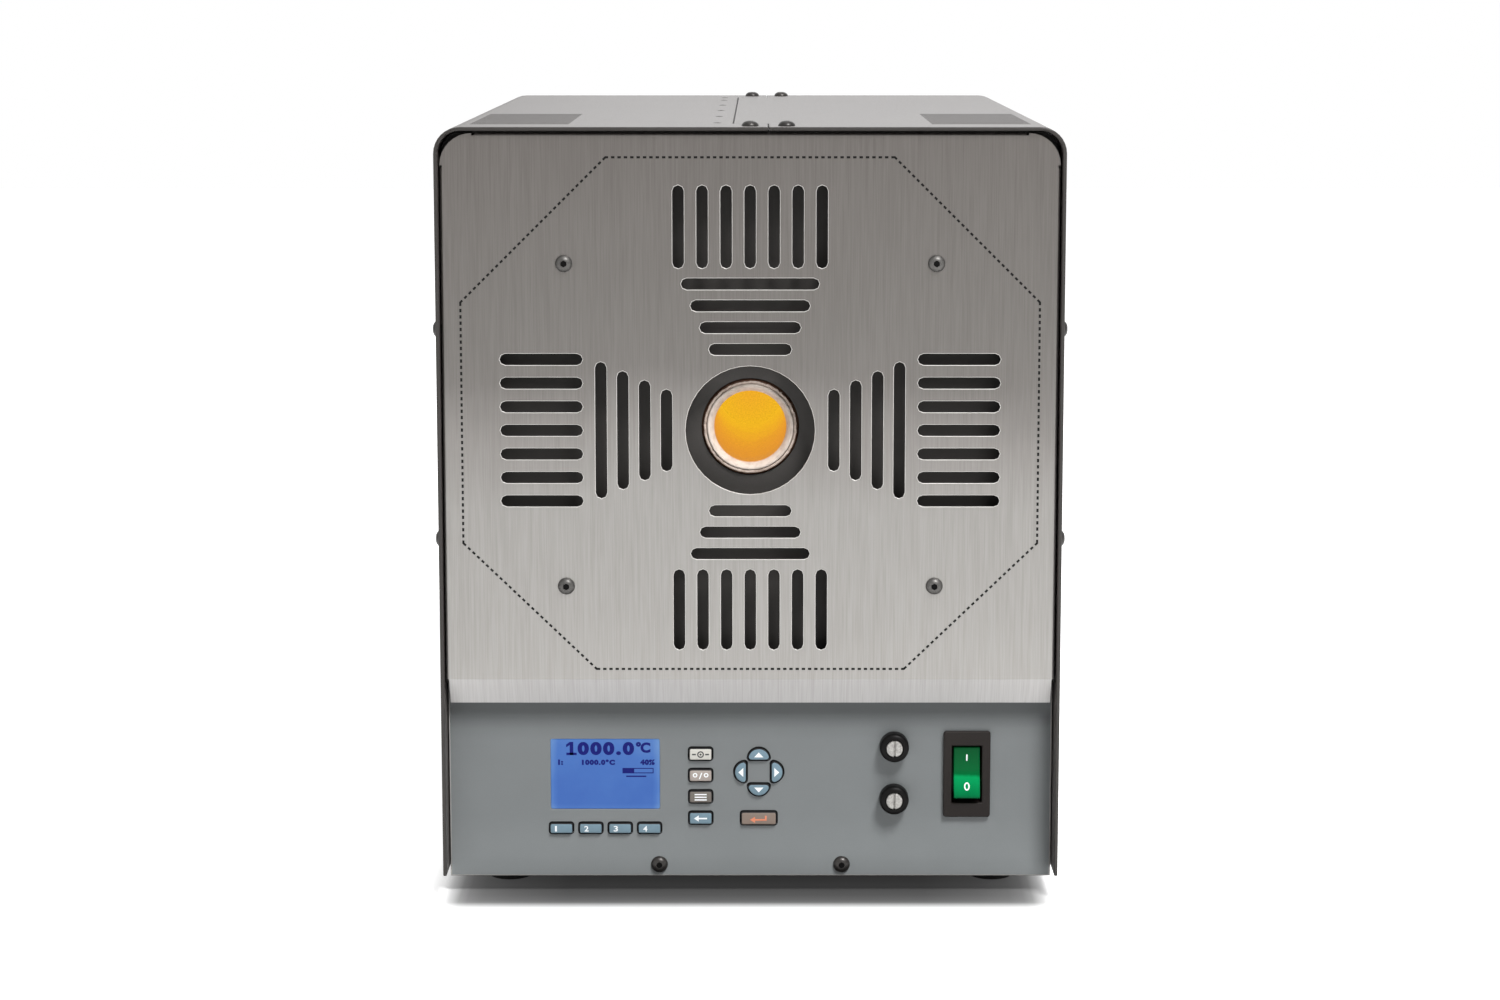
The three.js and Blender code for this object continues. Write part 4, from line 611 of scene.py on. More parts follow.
bore = 0.02
wall = 0.024
mouth = 0.234
chipped_from = 0.2328
hot_ceramic = glowing("hot_ceramic", 0.08, 0.232, True, (
    (0, 242, 184, 36), (0.28, 238, 172, 40), (0.55, 232, 157, 46), (0.85, 228, 150, 50), (1, 218, 146, 62),
), ((196, 182, 171), (216, 203, 192)), 0.2318, 0.2285)
front_end = [
    (bore, -0.2305), (0.0224, -mouth + 0.0004), (0.0232, -mouth), (0.0238, -mouth + 0.0003),
    (wall, -mouth + 0.0012),
]
rear_end = [(radius, -y) for radius, y in reversed(front_end)]
tube_profile = front_end + rear_end + [(bore, 0.19), (bore, -0.19)]
tube = turned("ceramic_tube", tube_profile, (0, tube_height), 160, hot_ceramic)
chips = uneven(4, 14, 5, 46, 0.4, 7)
for vertex in tube.data.vertices:
    x, y, z = vertex.co
    if abs(y) >= chipped_from:
        vertex.co.y -= math.copysign(0.00035 * max(0, chips(x, z)), y)
fit(tube, "housing", "tube_ceramic", "furnace_tube")

hot_metal = glowing("hot_metal", 0.002, 0.0197, False, ((0, 241, 174, 42), (1, 242, 184, 36)),
                    ((90, 60, 40), (120, 80, 50)), 0.5, 0.2)
block = turned("hot_block", [
    (0, -0.08), (0.019, -0.08), (0.0197, -0.0793), (0.0197, 0.0793), (0.019, 0.08), (0, 0.08),
], (0, tube_height), 96, hot_metal)
fit(block, "housing", "hot_block", "isothermal_block")

lip = 0.2333
torn_from = 0.2325
frayed_from = 0.025
scorched_from = 0.0257
packing_profile = (
    (0.0243, lip), (0.0247, lip + 0.0003), (0.0256, lip + 0.0001), (0.0262, lip - 0.0006), (0.0262, 0.2298),
    (0.06, 0.2298), (0.06, 0.2048), (0.0243, 0.2048),
)
packing_wool = finish_of("packing_wool", (166, 146, 132), (214, 200, 190), 0.85, cells=700, bump=0.0002,
                         mottle=180, shine=0.2)
scorched = finish_of("scorched_packing", (58, 38, 28), (104, 76, 60), 0.85, cells=700, bump=0.0002,
                     mottle=180, shine=0.2)
for end, sign, seed in (("front", -1, 9), ("rear", 1, 17)):
    profile = [(radius, sign * depth) for radius, depth in packing_profile]
    ring = turned(end + "_packing", profile, (0, tube_height), 160, packing_wool, scorched)
    tears = uneven(seed, 18, 3, 60, 0.3, 6)
    for vertex in ring.data.vertices:
        x, y, z = vertex.co
        if abs(y) < torn_from:
            continue
        torn = tears(x, z)
        vertex.co.y -= sign * 0.0012 * max(0, torn + 0.1)
        if math.hypot(x, z - tube_height) > frayed_from:
            pull = 1 + 0.012 * torn
            vertex.co.x = x * pull
            vertex.co.z = tube_height + (z - tube_height) * pull
    for polygon in ring.data.polygons:
        if math.hypot(polygon.center.x, polygon.center.z - tube_height) > scorched_from:
            polygon.material_index = 1
    fit(ring, "housing", "packing", end + "_collar")


# Screws: button heads with a hexagon socket. Steel ones hold the shields, black ones the covers and the
# panels. Rivets lie nearly flush beside the seam.
def skin(start, count, rings=2):
    """The faces of a closed shell: its rings of count points each, with their bands and both ends."""
    last = start + (rings - 1) * count
    faces = [tuple(range(start, start + count)), tuple(reversed(range(last, last + count)))]
    for low in range(start, last, count):
        high = low + count
        for step in range(count):
            after = (step + 1) % count
            faces.append((low + step, high + step, high + after, low + after))
    return faces


def button_head(name, radius, height, socket, depth):
    """One head at the origin that points along Z, its underside at zero."""
    sides = 24
    half = math.pi / 6
    angles = [2 * math.pi * step / sides for step in range(sides)]
    rings = [(radius, -0.0002)] + [(radius * out, height * up) for out, up in (
        (1, 0.1), (0.95, 0.36), (0.8, 0.68), (0.62, 0.88), (0.47, 0.98), (0.42, 1),
    )]
    points = [(out * math.cos(angle), out * math.sin(angle), z) for out, z in rings for angle in angles]
    for narrower, z in ((1, height), (0.96, height - depth)):
        for angle in angles:
            inner = narrower * socket * math.cos(half) / math.cos((angle + half) % (2 * half) - half)
            points.append((inner * math.cos(angle), inner * math.sin(angle), z))
    mesh = closed_mesh(name, points, skin(0, sides, len(rings) + 2))
    mesh.set_sharp_from_angle(angle=math.radians(38))
    return bpy.data.objects.new(name, mesh)


scatter_tree, given, scatter_end = node_group("heads_on_points", Head="Object", Finish="Material")
head_shape = wired(scatter_tree, "GeometryNodeObjectInfo", {"Object": given["Head"]})["Geometry"]
spots = wired(scatter_tree, "GeometryNodeMeshToPoints", {"Mesh": given["Geometry"]})["Points"]
axis = wired(scatter_tree, "GeometryNodeInputNamedAttribute", {"Name": "axis"},
             data_type="FLOAT_VECTOR")["Attribute"]
aim = wired(scatter_tree, "FunctionNodeAlignEulerToVector", {"Vector": axis}, axis="Z")[0]
end_group(scatter_tree, scatter_end, spots, head_shape, aim, given["Finish"])


def set_heads(name, head, places, finish, slot, *replaced):
    """Heads of the housing at places, each a point and the direction that it faces."""
    mesh = bpy.data.meshes.new(name)
    mesh.from_pydata([place for place, facing in places], [], [])
    attribute = mesh.attributes.new("axis", "FLOAT_VECTOR", "POINT")
    for index, (place, facing) in enumerate(places):
        attribute.data[index].vector = facing
    fit(grow(linked(name, mesh), scatter_tree, {"Head": head, "Finish": finish}), "housing", slot, *replaced)


case_top = 0.4315
case_side = 0.172
row_y = 0.2355
rear_shield_face = 0.247
panel_face = -0.2334
screw_head = button_head("screw_head", 0.00475, 0.00275, 0.0019, 0.0017)
rivet_head = button_head("rivet_head", 0.0023, 0.0003, 0.0009, 0.0002)
# Painted shade: a black hexagon plug sits in each socket a little below the head's top, so the socket looks
# dark.
plug_radius = 0.00186
plug_points = [
    (plug_radius * math.cos(math.pi / 3 * side), plug_radius * math.sin(math.pi / 3 * side), z)
    for z in (0.0012, 0.0024) for side in range(6)
]
plug_mesh = closed_mesh("socket_shadow", plug_points, skin(0, 6), smooth=False)
socket_plug = bpy.data.objects.new("socket_shadow", plug_mesh)
screw_steel = finish_of("screw_steel", (66, 65, 63), (98, 96, 94), 0.42, 0.6, cells=1600, shine=0.35)
screw_black = finish_of("black_screw_steel", (34, 32, 31), (60, 57, 55), 0.34, 0.5, cells=1600, shine=0.5)
socket_black = finish_of("socket_black", (6, 6, 6), (12, 11, 11), 0.8, cells=1600, shine=0.1)
shield_places = [
    ((x, shield_face, tube_height + z), (0, -1, 0)) for x in (-0.1018, 0.1018) for z in (0.092, -0.087)
]
rear_places = [
    ((x, rear_shield_face, tube_height + z), (0, 1, 0)) for x in (-0.084, 0.084) for z in (-0.084, 0.084)
]
cover_places = [((x, y, case_top), (0, 0, 1)) for x in (0, 0.02) for y in (-row_y, row_y)]
cover_places += [
    ((side * case_side, y, z), (side, 0, 0))
    for side in (-1, 1) for y in (-row_y, row_y) for z in (0.32, 0.203)
]
panel_places = [((x, panel_face, 0.0158), (0, -1, 0)) for x in (-0.0514, 0.0514)]
rivet_places = [
    ((-0.0184, -0.25 + depth, case_top), (0, 0, 1)) for depth in (0.052, 0.139, 0.227, 0.314, 0.402, 0.449)
]
set_heads("shield_screws", screw_head, shield_places, screw_steel, "screw_steel", "shield_screw_upper_left",
          "shield_screw_upper_right", "shield_screw_lower_left", "shield_screw_lower_right")
set_heads("rear_shield_screws", screw_head, rear_places, screw_steel, "screw_steel")
set_heads("cover_screws", screw_head, cover_places, screw_black, "screw_black", "top_screw_left",
          "top_screw_right", "side_screw_left_upper", "side_screw_left_lower", "side_screw_right_upper",
          "side_screw_right_lower")
set_heads("panel_screws", screw_head, panel_places, screw_black, "screw_black")
set_heads("screw_sockets", socket_plug, shield_places + rear_places + cover_places + panel_places,
          socket_black, "screw_black")
set_heads("seam_rivets", rivet_head, rivet_places, cover_edge, "cover_paint")


# Control panel: a sheet in blue-grey satin paint, a copy of its solid with rounded bends. Its colour is
# painted darker upwards and darkest just under the shield's lip, a painted shadow; its bent rim is painted
# lighter, a painted highlight, and the rounded edges of its cut-outs are painted black, painted shade.
panel_paint = finish_of("panel_paint", (126, 130, 131), (133, 137, 138), 0.5, cells=1800, bump=0.00002,
                        shine=0.3)
# The bent rim takes a lighter copy of the panel paint, a painted highlight.
panel_edge = finish_of("panel_bend", (158, 156, 153), (174, 172, 169), 0.4, cells=1800, bump=0.00001)
# The rounded edges of the cut-outs are painted black, painted shade in the gaps round the keys, fuses and
# switch.
cut_out_edge = finish_of("cut_out_edge", (16, 16, 17), (26, 26, 27), 0.6, cells=1800, bump=0.00001,
                         shine=0.2)
tree = panel_paint.node_tree
shader = tree.nodes["Principled BSDF"]
plain_paint = shader.inputs["Base Color"].links[0].from_socket
# Painted shadow: the paint is multiplied darker with height, darkest just under the shield's lip.
shadow = ramp(tree, ranged(tree, own_place(tree)[2], 0.012, 0.112), (
    (0.09, 1), (0.32, 0.82), (0.53, 0.77), (0.76, 0.73), (0.82, 0.65), (0.885, 0.43), (0.96, 0.5),
))
feed(tree, shader, {"Base Color": blended(tree, 1, plain_paint, shadow, "MULTIPLY")})
panel = merged_copy("control_panel", "grey_panel", panel_paint, panel_edge, cut_out_edge)
soften_plate(panel, panel_face, -1, 0.0004, 0.0008, 2, 1)
# The edges round the display window keep the panel paint instead of the black painted shade.
window_right, window_low = -0.045, 0.046
for polygon in panel.data.polygons:
    if polygon.material_index == 2 and polygon.center.x < window_right and polygon.center.z > window_low:
        polygon.material_index = 0
fit(panel, "housing", "panel_paint", "control_panel")


# Display: a blue lit pane set into the panel, with a rim behind the panel that holds it. Its numerals, its
# small readings and its bar are dark blue.
def arc_points(centre_x, centre_z, radius, start, end, steps):
    """Points of x and z along an arc, both its ends with them."""
    angles = [start + (end - start) * step / steps for step in range(steps + 1)]
    return [(centre_x + radius * math.cos(angle), centre_z + radius * math.sin(angle)) for angle in angles]


def rounded_rectangle(width, height, radius):
    """A rectangle's outline by how far it is drawn in, its corners rounded."""
    def outline(inset):
        corner = max(radius - inset, 0.00005)
        right = width / 2 - inset - corner
        top = height / 2 - inset - corner
        quarter = math.pi / 2
        return [
            point for index, (x, z) in enumerate(((1, 1), (-1, 1), (-1, -1), (1, -1)))
            for point in arc_points(x * right, z * top, corner, index * quarter, (index + 1) * quarter, 6)
        ]
    return outline


def moulded(name, outline, centre, rings, finish, *hidden_finish, hidden_from=0):
    """A moulded piece that faces -Y: rings of one outline, each drawn in by an inset at its y, closed at
    both ends. Faces that lie wholly behind hidden_from take the hidden finish, where there is one."""
    points = [(centre[0] + x, y, centre[1] + z) for inset, y in rings for x, z in outline(inset)]
    piece = closed_piece(name, points, skin(0, len(outline(0)), len(rings)), finish, *hidden_finish)
    if hidden_finish:
        for polygon in piece.data.polygons:
            depths = [piece.data.vertices[index].co.y for index in polygon.vertices]
            polygon.material_index = int(min(depths) >= hidden_from - 0.000001)
    piece.data.set_sharp_from_angle(angle=math.radians(40))
    return piece


def marks(name, shapes, face_y, ink_used, at=(0, 0), thickness=0.00005):
    """Flat printed shapes round a place, each an outline of x and z, a hair proud of a face."""
    points = []
    faces = []
    for shape in shapes:
        faces += skin(len(points), len(shape))
        for y in (face_y - thickness, face_y + thickness):
            points += [(at[0] + x, y, at[1] + z) for x, z in shape]
    return closed_piece(name, points, faces, ink_used, smooth=False)


def bar(left, bottom, right, top):
    """An upright rectangle's outline."""
    return [(left, bottom), (right, bottom), (right, top), (left, top)]


def hoop(centre_x, centre_z, radius, width, steps=28):
    """A ring drawn as short bars that meet."""
    outer = arc_points(centre_x, centre_z, radius, 0, 2 * math.pi, steps)
    inner = arc_points(centre_x, centre_z, radius - width, 0, 2 * math.pi, steps)
    return [[outer[i], outer[i + 1], inner[i + 1], inner[i]] for i in range(steps)]


def lettering(name, words, fit_box, face_y, ink_used, weight=0, apart=1):
    """Numerals as a thin mesh that fills a box of x and z, a hair proud of a face."""
    curve = bpy.data.curves.new(name, "FONT")
    curve.body = words
    curve.space_character = apart
    curve.size = 0.01
    curve.extrude = 0.00005
    curve.offset = weight
    curve.resolution_u = 5
    words_object = linked(name, curve)
    mesh = evaluated_mesh(words_object)
    bpy.data.objects.remove(words_object)
    xs = [vertex.co.x for vertex in mesh.vertices]
    ys = [vertex.co.y for vertex in mesh.vertices]
    left, right, bottom, top = fit_box
    for vertex in mesh.vertices:
        x = left + (vertex.co.x - min(xs)) / (max(xs) - min(xs)) * (right - left)
        z = bottom + (vertex.co.y - min(ys)) / (max(ys) - min(ys)) * (top - bottom)
        vertex.co = (x, face_y - vertex.co.z, z)
    dress(mesh, ink_used)
    return linked(name, mesh)


display_x = -0.0817
display_z = 0.0679
pane_face = -0.2328
pane_back = -0.2303
rim_face = -0.2313
lit_blue, tree, glass = coat("lit_blue_pane", {
    "Base Color": tone(20, 46, 84), "Roughness": 0.25, "Specular IOR Level": 0.2, "Emission Strength": 0.72,
})
x, _, z = own_place(tree)
aside = worked_out(tree, "ABSOLUTE", worked_out(tree, "SUBTRACT", x, display_x))
rise = worked_out(tree, "SUBTRACT", z, display_z)
lighter = 0
for value, start, end, share in (
    (aside, 0.0265, 0.0304, 0.5), (rise, -0.004, 0.02, 0.38), (rise, -0.017, -0.02, 0.28),
    (noise(tree, 55), 0.3, 0.7, 0.22),
):
    lighter = worked_out(tree, "ADD", lighter, ranged(tree, value, start, end, 0, share))
blues = ramp(tree, lighter, ((0, 60, 104, 188), (0.35, 74, 120, 198), (1, 118, 160, 214)))
feed(tree, glass, {"Emission Color": blues})
pane = moulded("display_pane", rounded_rectangle(0.0608, 0.0399, 0.0008), (display_x, display_z), (
    (-0.0023, pane_back), (-0.0023, rim_face), (0, rim_face), (0, pane_face + 0.0002), (0.0002, pane_face),
), lit_blue)
fit(pane, "housing", "display_blue", "display_window")

navy = finish_of("navy_segments", (8, 14, 92), (14, 22, 110), 0.5, cells=2500, bump=0.00001, shine=0.15)
left = display_x - 0.0307
top = display_z + 0.02025
for name, words, box, weight, apart in (
    ("reading", "000.0", (0.0152, 0.0470, -0.0094, -0.0018), 0.0006, 1.25),
    ("reading_unit", "\u00b0C", (0.0480, 0.0562, -0.0081, -0.0018), 0.0005, 0.9),
    ("channel", "1:", (0.0042, 0.0070, -0.0151, -0.0119), 0.0008, 1.1),
    ("set_reading", "1000.0\u00b0C", (0.0176, 0.0362, -0.0151, -0.0119), 0.00075, 1.2),
    ("power_reading", "40%", (0.0504, 0.0586, -0.0151, -0.0119), 0.00075, 1.15),
):
    box = (left + box[0], left + box[1], top + box[2], top + box[3])
    fit(lettering(name, words, box, pane_face, navy, weight, apart), "housing", "display_blue")
bar_left, bar_right, bar_low, bar_high = 0.0404, 0.0579, -0.0199, -0.0168
line = 0.0005
gauge = marks("power_bar", [
    bar(0.0108, -0.0094, 0.0128, -0.0018),
    bar(0.0089, -0.0094, 0.0147, -0.0080),
    [(0.0088, -0.0049), (0.0108, -0.0036), (0.0108, -0.0018), (0.0088, -0.0033)],
    bar(bar_left, bar_low, bar_right, bar_low + line),
    bar(bar_left, bar_high - line, bar_right, bar_high),
    bar(bar_right - line, bar_low + line, bar_right, bar_high - line),
    bar(bar_left, bar_low + line, bar_left + 0.0066, bar_high - line),
    bar(0.0425, -0.0220, 0.0538, -0.0212),
], pane_face, navy, (left, top))
fit(gauge, "housing", "display_blue")


# Keys: soft moulded caps that stand proud of the panel in cut-outs, each with a rim behind the panel, which
# is painted black as the shade in the gap round the cap. The marks on them are plain numerals, arrows and
# simple signs.
def spun(points, turn):
    """Points of x and z turned about their middle."""
    right, up = math.cos(turn), math.sin(turn)
    return [(x * right - z * up, x * up + z * right) for x, z in points]


def arrow_outline(turn):
    """A cap that is flat towards the pad's middle and arched away from it."""
    def outline(inset):
        half_length = 0.0059 - inset
        half_width = 0.00325 - inset
        corner = max(0.0018 - inset, 0.0001)
        height = 2 * half_width - corner
        radius = (half_length ** 2 / height + height) / 2
        middle = half_width - radius
        edge = math.asin((corner - half_width - middle) / radius)
        points = arc_points(0, middle, radius, edge, math.pi - edge, 16)
        for end, quarter in ((corner - half_length, 2), (half_length - corner, 3)):
            start = quarter * math.pi / 2
            points += arc_points(end, corner - half_width, corner, start, start + math.pi / 2, 5)
        return spun(points, turn)
    return outline


def key_finish(name, *middle):
    """A soft plastic that drifts a little round its middle tone."""
    dark, light = ([part + change for part in middle] for change in (-6, 6))
    return finish_of(name, dark, light, 0.5, cells=2600, bump=0.00002, mottle=90, shine=0.35)


def set_key(word, outline, place, slot, finish, rim=0.00175):
    """One cap on its own button, its rim and its foot painted black, painted shade in the gap round it."""
    cap = moulded(word + "_cap", outline, place, (
        (-rim, key_back), (-rim, key_rim), (0, key_rim), (0, key_face + 0.0009),
        (0.00008, key_face + 0.0005), (0.00028, key_face + 0.00022), (0.0005, key_face + 0.0001),
        (0.0009, key_face),
    ), finish, key_gap_black, hidden_from=key_face + 0.00021)
    fit(cap, word + "_button", slot, "key_" + word)


key_face = -0.2354
key_back = -0.2304
key_rim = -0.2316
key_width = 0.0126
key_round = 0.0011
function_z = 0.0369
enter_z = 0.0427
column_x = -0.028
pad_x, pad_z = 0.0047, 0.0694
pad_reach = 0.0103
# Painted shade: the caps' hidden rims and feet are black so that the gaps round the keys look dark.
key_gap_black = finish_of("key_gap_black", (14, 14, 15), (22, 22, 23), 0.8, cells=2000, bump=0.00001)
blue_key = key_finish("blue_key", 108, 132, 145)
white_key = key_finish("white_key", 196, 194, 187)
light_taupe_key = key_finish("light_taupe_key", 160, 150, 143)
dark_taupe_key = key_finish("dark_taupe_key", 106, 100, 94)
brown_key = key_finish("brown_key", 126, 112, 102)
white_ink, grey_ink, orange_ink = (
    finish_of(name, dark, light, 0.5, cells=2600, bump=0.00001) for name, dark, light in (
        ("white_ink", (226, 230, 232), (244, 246, 247)), ("grey_ink", (38, 40, 40), (52, 54, 54)),
        ("orange_ink", (206, 118, 84), (222, 136, 100)),
    )
)
for index in range(4):
    x = display_x + (index - 1.5) * 0.01655
    word = "f" + str(index + 1)
    set_key(word, rounded_rectangle(key_width, 0.0056, key_round), (x, function_z), "blue_key", blue_key)
    box = (x - 0.0036, x - (0.0025 if index == 0 else 0.0012), 0.0353, 0.0385)
    numeral = lettering(word + "_numeral", str(index + 1), box, key_face, white_ink, 0.0002)
    fit(numeral, word + "_button", "white_key")

for index, (word, slot, finish, sign_ink, shapes) in enumerate((
    ("setpoint", "white_key", white_key, grey_ink, hoop(0, 0, 0.0019, 0.0007) + [
        bar(-0.0048, -0.0004, -0.0026, 0.0004), bar(0.0026, -0.0004, 0.0048, 0.0004),
        arc_points(0, 0, 0.0006, 0, 2 * math.pi, 12)[:-1],
    ]),
    ("units", "light_taupe_key", light_taupe_key, white_ink, [
        *hoop(-0.0031, 0.0004, 0.0013, 0.0006), *hoop(0.0031, 0.0004, 0.0013, 0.0006),
        [(-0.001, -0.0018), (-0.0003, -0.0018), (0.001, 0.0018), (0.0003, 0.0018)],
    ]),
    ("menu", "dark_taupe_key", dark_taupe_key, white_ink, [
        bar(-0.0034, up, 0.0034, up + 0.0007) for up in (-0.0019, -0.00035, 0.0012)
    ]),
    ("exit", "blue_key", blue_key, white_ink, [
        bar(-0.0012, -0.00045, 0.0036, 0.00045), [(-0.0038, 0), (-0.0011, -0.0018), (-0.0011, 0.0018)],
    ]),
)):
    place = (column_x, 0.0797 - index * 0.0123)
    set_key(word, rounded_rectangle(key_width, 0.0066, key_round), place, slot, finish)
    fit(marks(word + "_sign", shapes, key_face, sign_ink, place), word + "_button", slot)

tip = ((0.0012, 0), (-0.0016, -0.0026), (-0.0016, 0.0026))
for index, word in enumerate(("right", "up", "left", "down")):
    angle = index * math.pi / 2
    place = (pad_x + pad_reach * math.cos(angle), pad_z + pad_reach * math.sin(angle))
    set_key(word, arrow_outline(angle - math.pi / 2), place, "blue_key", blue_key, 0.00105)
    arrow = marks(word + "_arrow", [spun(tip, angle)], key_face, white_ink, place)
    fit(arrow, word + "_button", "white_key")

place = (pad_x, enter_z)
set_key("enter", rounded_rectangle(0.0196, 0.0071, key_round), place, "brown_key", brown_key)
enter_sign = marks("enter_sign", [
    bar(-0.0021, -0.0011, 0.0044, -0.0002),
    bar(0.0035, -0.0002, 0.0044, 0.0017),
    [(-0.005, -0.00065), (-0.0021, -0.0024), (-0.0021, 0.0011)],
], key_face, orange_ink, place)
fit(enter_sign, "enter_button", "brown_key")


# Fuse holders: black turned bezels, each with a pale slotted cap over a glass fuse with plated ends, which
# draws out with it.
fuse_x = 0.0807
glass_reach = 0.0024
black_plastic = finish_of("black_plastic", (9, 8, 8), (14, 13, 13), 0.4, cells=1500, bump=0.00003, shine=0.1)
cap_white = finish_of("speckled_cap", (108, 106, 103), (192, 190, 186), 0.45, 0.3, cells=2400, bump=0.00006,
                      mottle=900)
fuse_glass = finish_of("fuse_glass", (190, 200, 196), (214, 222, 218), 0.1, 0.2, cells=800)
fuse_end = finish_of("plated_fuse_end", (150, 147, 140), (196, 193, 186), 0.28, 0.8, cells=1400)
for place, fuse_z in (("upper", 0.0844), ("lower", 0.0544)):
    bezel = turned(place + "_fuse_bezel", [
        (0.0048, -0.2416), (0.0051, -0.2418), (0.0058, -0.24165), (0.0070, -0.24125), (0.0077, -0.2407),
        (0.0081, -0.2398), (0.0082, -0.2388), (0.0082, -0.2337), (0.0063, -0.2337), (0.0063, -0.2123),
        (0, -0.2123), (0, -0.2138), (0.0029, -0.2138), (0.0029, -0.23425), (0.0048, -0.23425),
    ], (fuse_x, fuse_z), 64, black_plastic)
    bezel.data.set_sharp_from_angle(angle=math.radians(50))
    fit(bezel, "housing", "black_plastic", "fuse_holder_" + place)
    fit_rounded("fuse_cap_" + place, place + "_fuse_cap", 0.0003, cap_white, place + "_cap", "fuse_cap")
    fuse = merged_copy("fuse_link_" + place, place + "_glass_fuse", fuse_glass, fuse_end)
    for polygon in fuse.data.polygons:
        corners = [fuse.data.vertices[index].co for index in polygon.vertices]
        reach_out = max(math.hypot(corner.x - fuse_x, corner.z - fuse_z) for corner in corners)
        polygon.material_index = int(reach_out > glass_reach)
    round_edges(fuse, 0.0001)
    fit(fuse, place + "_fuse", "fuse_glass", "fuse_link_" + place)


# Power switch: a brown-black moulded bezel round a well, and a green lit rocker, its upper end pressed in.
# The marks on it are the plain signs for on and off.
bezel_brown = finish_of("brown_black_bezel", (24, 20, 18), (34, 29, 27), 0.45, cells=1500, bump=0.00003,
                        shine=0.16)
fit_rounded("switch_bezel", "switch_frame", 0.0007, bezel_brown, "housing", "black_plastic", 3)

lit_green, tree, gel = coat("lit_green_rocker", {
    "Roughness": 0.22, "Specular IOR Level": 0.06, "Emission Strength": 0.16,
})
# Painted light and shade: the green is darkest at the rocker's foot, lightest just below its middle and
# darker over its pressed-in upper half.
rise = ranged(tree, own_place(tree)[2], 0.0545, 0.0825)
greens = ramp(tree, worked_out(tree, "MULTIPLY_ADD", noise(tree, 160, 3, (1, 1, 0.2)), 0.12, rise), (
    (0.02, 0, 50, 28), (0.16, 0, 104, 58), (0.5, 4, 138, 78), (0.56, 0, 90, 44), (1, 0, 74, 36),
))
feed(tree, gel, {"Base Color": greens, "Emission Color": greens})

pivot = Vector((0.1216, -0.2299, 0.0684))
tilt = math.radians(10)
half_height = 0.0142
half_width = 0.0073


def on_rocker(x, out, rise):
    """A point of the untilted rocker, out from its pivot and up from it, as the rocker stands."""
    return (
        pivot.x + x,
        pivot.y - out * math.cos(tilt) + rise * math.sin(tilt),
        pivot.z + out * math.sin(tilt) + rise * math.cos(tilt),
    )


def rocker_front(rise):
    """How far the rocker's hollowed front stands out at that rise."""
    return 0.0052 + 0.0018 * (abs(rise) / half_height) ** 1.25


def rocker_marks(name, shapes):
    """Marks that lie on the rocker's slanting front."""
    sign_piece = marks(name, shapes, 0, white_ink, thickness=0.00008)
    for vertex in sign_piece.data.vertices:
        x, lift_off, rise = vertex.co
        vertex.co = on_rocker(x, rocker_front(rise) - lift_off, rise)
    fit(sign_piece, "rocker", "white_key")


rises = [2 * half_height * step / 24 - half_height for step in range(25)]
profile = [(rocker_front(rise), rise) for rise in rises]
profile += [(0.0055, 0.0146), (-0.003, 0.008), (-0.003, -0.008), (0.0055, -0.0146)]
points = [on_rocker(side * half_width, out, rise) for side in (-1, 1) for out, rise in profile]
rocker = closed_piece("green_rocker", points, skin(0, len(profile)), lit_green)
round_edges(rocker, 0.0005, segments=3, sharpness=24)
fit(rocker, "rocker", "green_rocker", "switch_rocker")
rocker_marks("on_sign", [bar(-0.0004, z, 0.0004, z + 0.0009) for z in (0.0066, 0.0075, 0.0084, 0.0093)])
oval_steps = 24
oval_angles = [2 * math.pi * step / oval_steps for step in range(oval_steps + 1)]
rocker_marks("off_sign", [
    [(0.0016 * out * math.cos(angle), -0.0078 + 0.0023 * up * math.sin(angle))
     for angle, out, up in ((here, 1, 1), (after, 1, 1), (after, 0.52, 0.66), (here, 0.52, 0.66))]
    for here, after in zip(oval_angles, oval_angles[1:])
])


# Back: the rear panel in the covers' paint, the square stainless shield round the tube's back end, the fan
# behind its grille and the mains inlet with its bright pins.
rear_panel_face = 0.2316
rear_panel = merged_copy("rear_panel", "rear_wall", cover_paint)
soften_plate(rear_panel, rear_panel_face, 1, 0.0004, 0.0005)
fit(rear_panel, "housing", "cover_paint", "rear_panel")
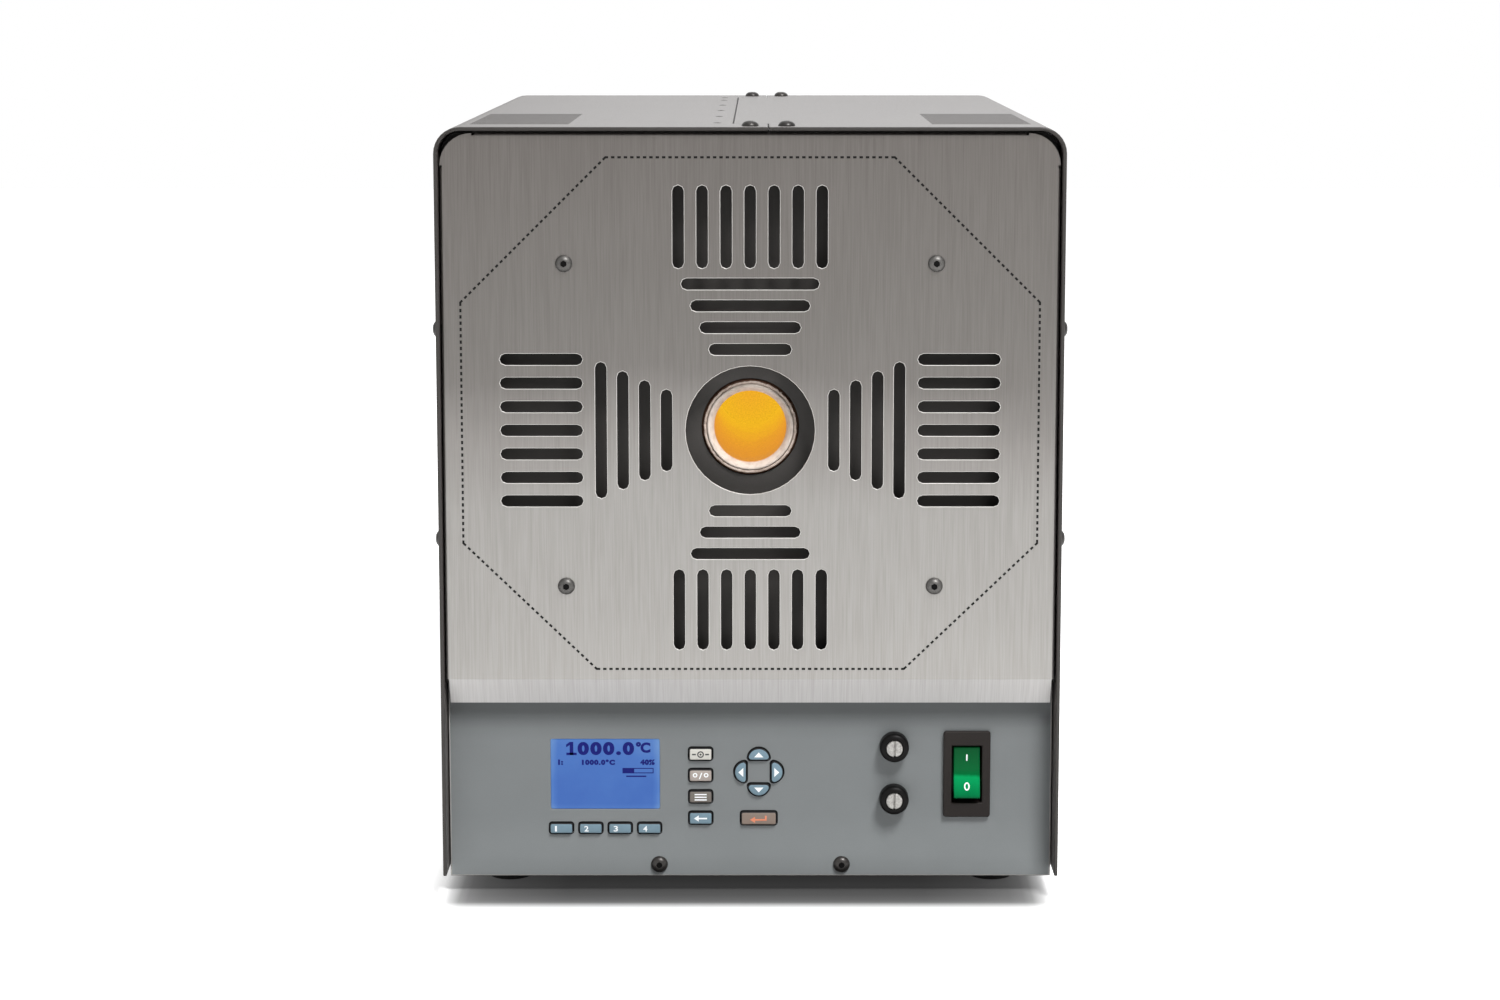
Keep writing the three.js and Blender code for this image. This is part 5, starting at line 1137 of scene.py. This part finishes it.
# The rear shield takes the front shield's steel with its painted reflection by height, and the lighter steel
# of the painted highlight on its edges.
rear_shield = merged_copy("rear_shield", "slotted_rear_shield", shield_steel, bright_edge)
soften_plate(rear_shield, rear_shield_face, 1, 0.0003, 0.0004, 1)
fit(rear_shield, "housing", "shield_steel", "rear_shield")
fit_rounded("fan_frame", "fan_housing", 0.0003, black_plastic, "housing", "black_plastic")
fit_rounded("fan_rotor", "fan_blades", 0.0003, black_plastic, "fan", "black_plastic")
pin_metal = finish_of("bright_pins", (176, 170, 158), (214, 208, 196), 0.3, 0.9, cells=1500)
pin_places = ((-0.112, 0.0575), (-0.098, 0.0575), (-0.105, 0.0632))
pin_reach_x, pin_reach_z = 0.0011, 0.0021
pin_root, pin_tip = 0.217, 0.2325
inlet = merged_copy("power_inlet", "mains_inlet", black_plastic, pin_metal)
for polygon in inlet.data.polygons:
    x, y, z = polygon.center
    for pin_x, pin_z in pin_places:
        if abs(x - pin_x) < pin_reach_x and abs(z - pin_z) < pin_reach_z and pin_root < y < pin_tip:
            polygon.material_index = 1
round_edges(inlet, 0.0003)
fit(inlet, "housing", "black_plastic", "power_inlet")


# Feet: four black rubber cones with a recess for the bolt, each a copy of its solid with its edges rounded,
# in matt rubber with a fine grain.
rubber = finish_of("foot_rubber", (38, 37, 36), (52, 50, 49), 0.8, cells=1200, bump=0.00008)
for place in ("front_left", "front_right", "rear_left", "rear_right"):
    fit_rounded("foot_" + place, place + "_rubber_foot", 0.0006, rubber, "housing", "rubber")


# Inner pieces: what lies inside the case keeps its solid, in the finish of the real part: white fibre, green
# circuit boards, a bright heat sink and a zinc sheath.
fibre = finish_of("ceramic_fibre", (206, 202, 192), (236, 232, 224), 0.9, cells=500, bump=0.0002)
board = finish_of("circuit_board", (22, 70, 42), (34, 96, 58), 0.45, cells=900)
heat_sink = finish_of("heat_sink", (150, 152, 155), (178, 180, 183), 0.4, 0.8, cells=700)
for finish, names in (
    (fibre, ("heater", "insulation_upper", "insulation_lower")),
    (board, ("panel_board", "controller_board")),
    (heat_sink, ("power_relay",)),
    (zinc, ("control_thermocouple",)),
):
    for name in names:
        dress(nodes[name].data, finish)
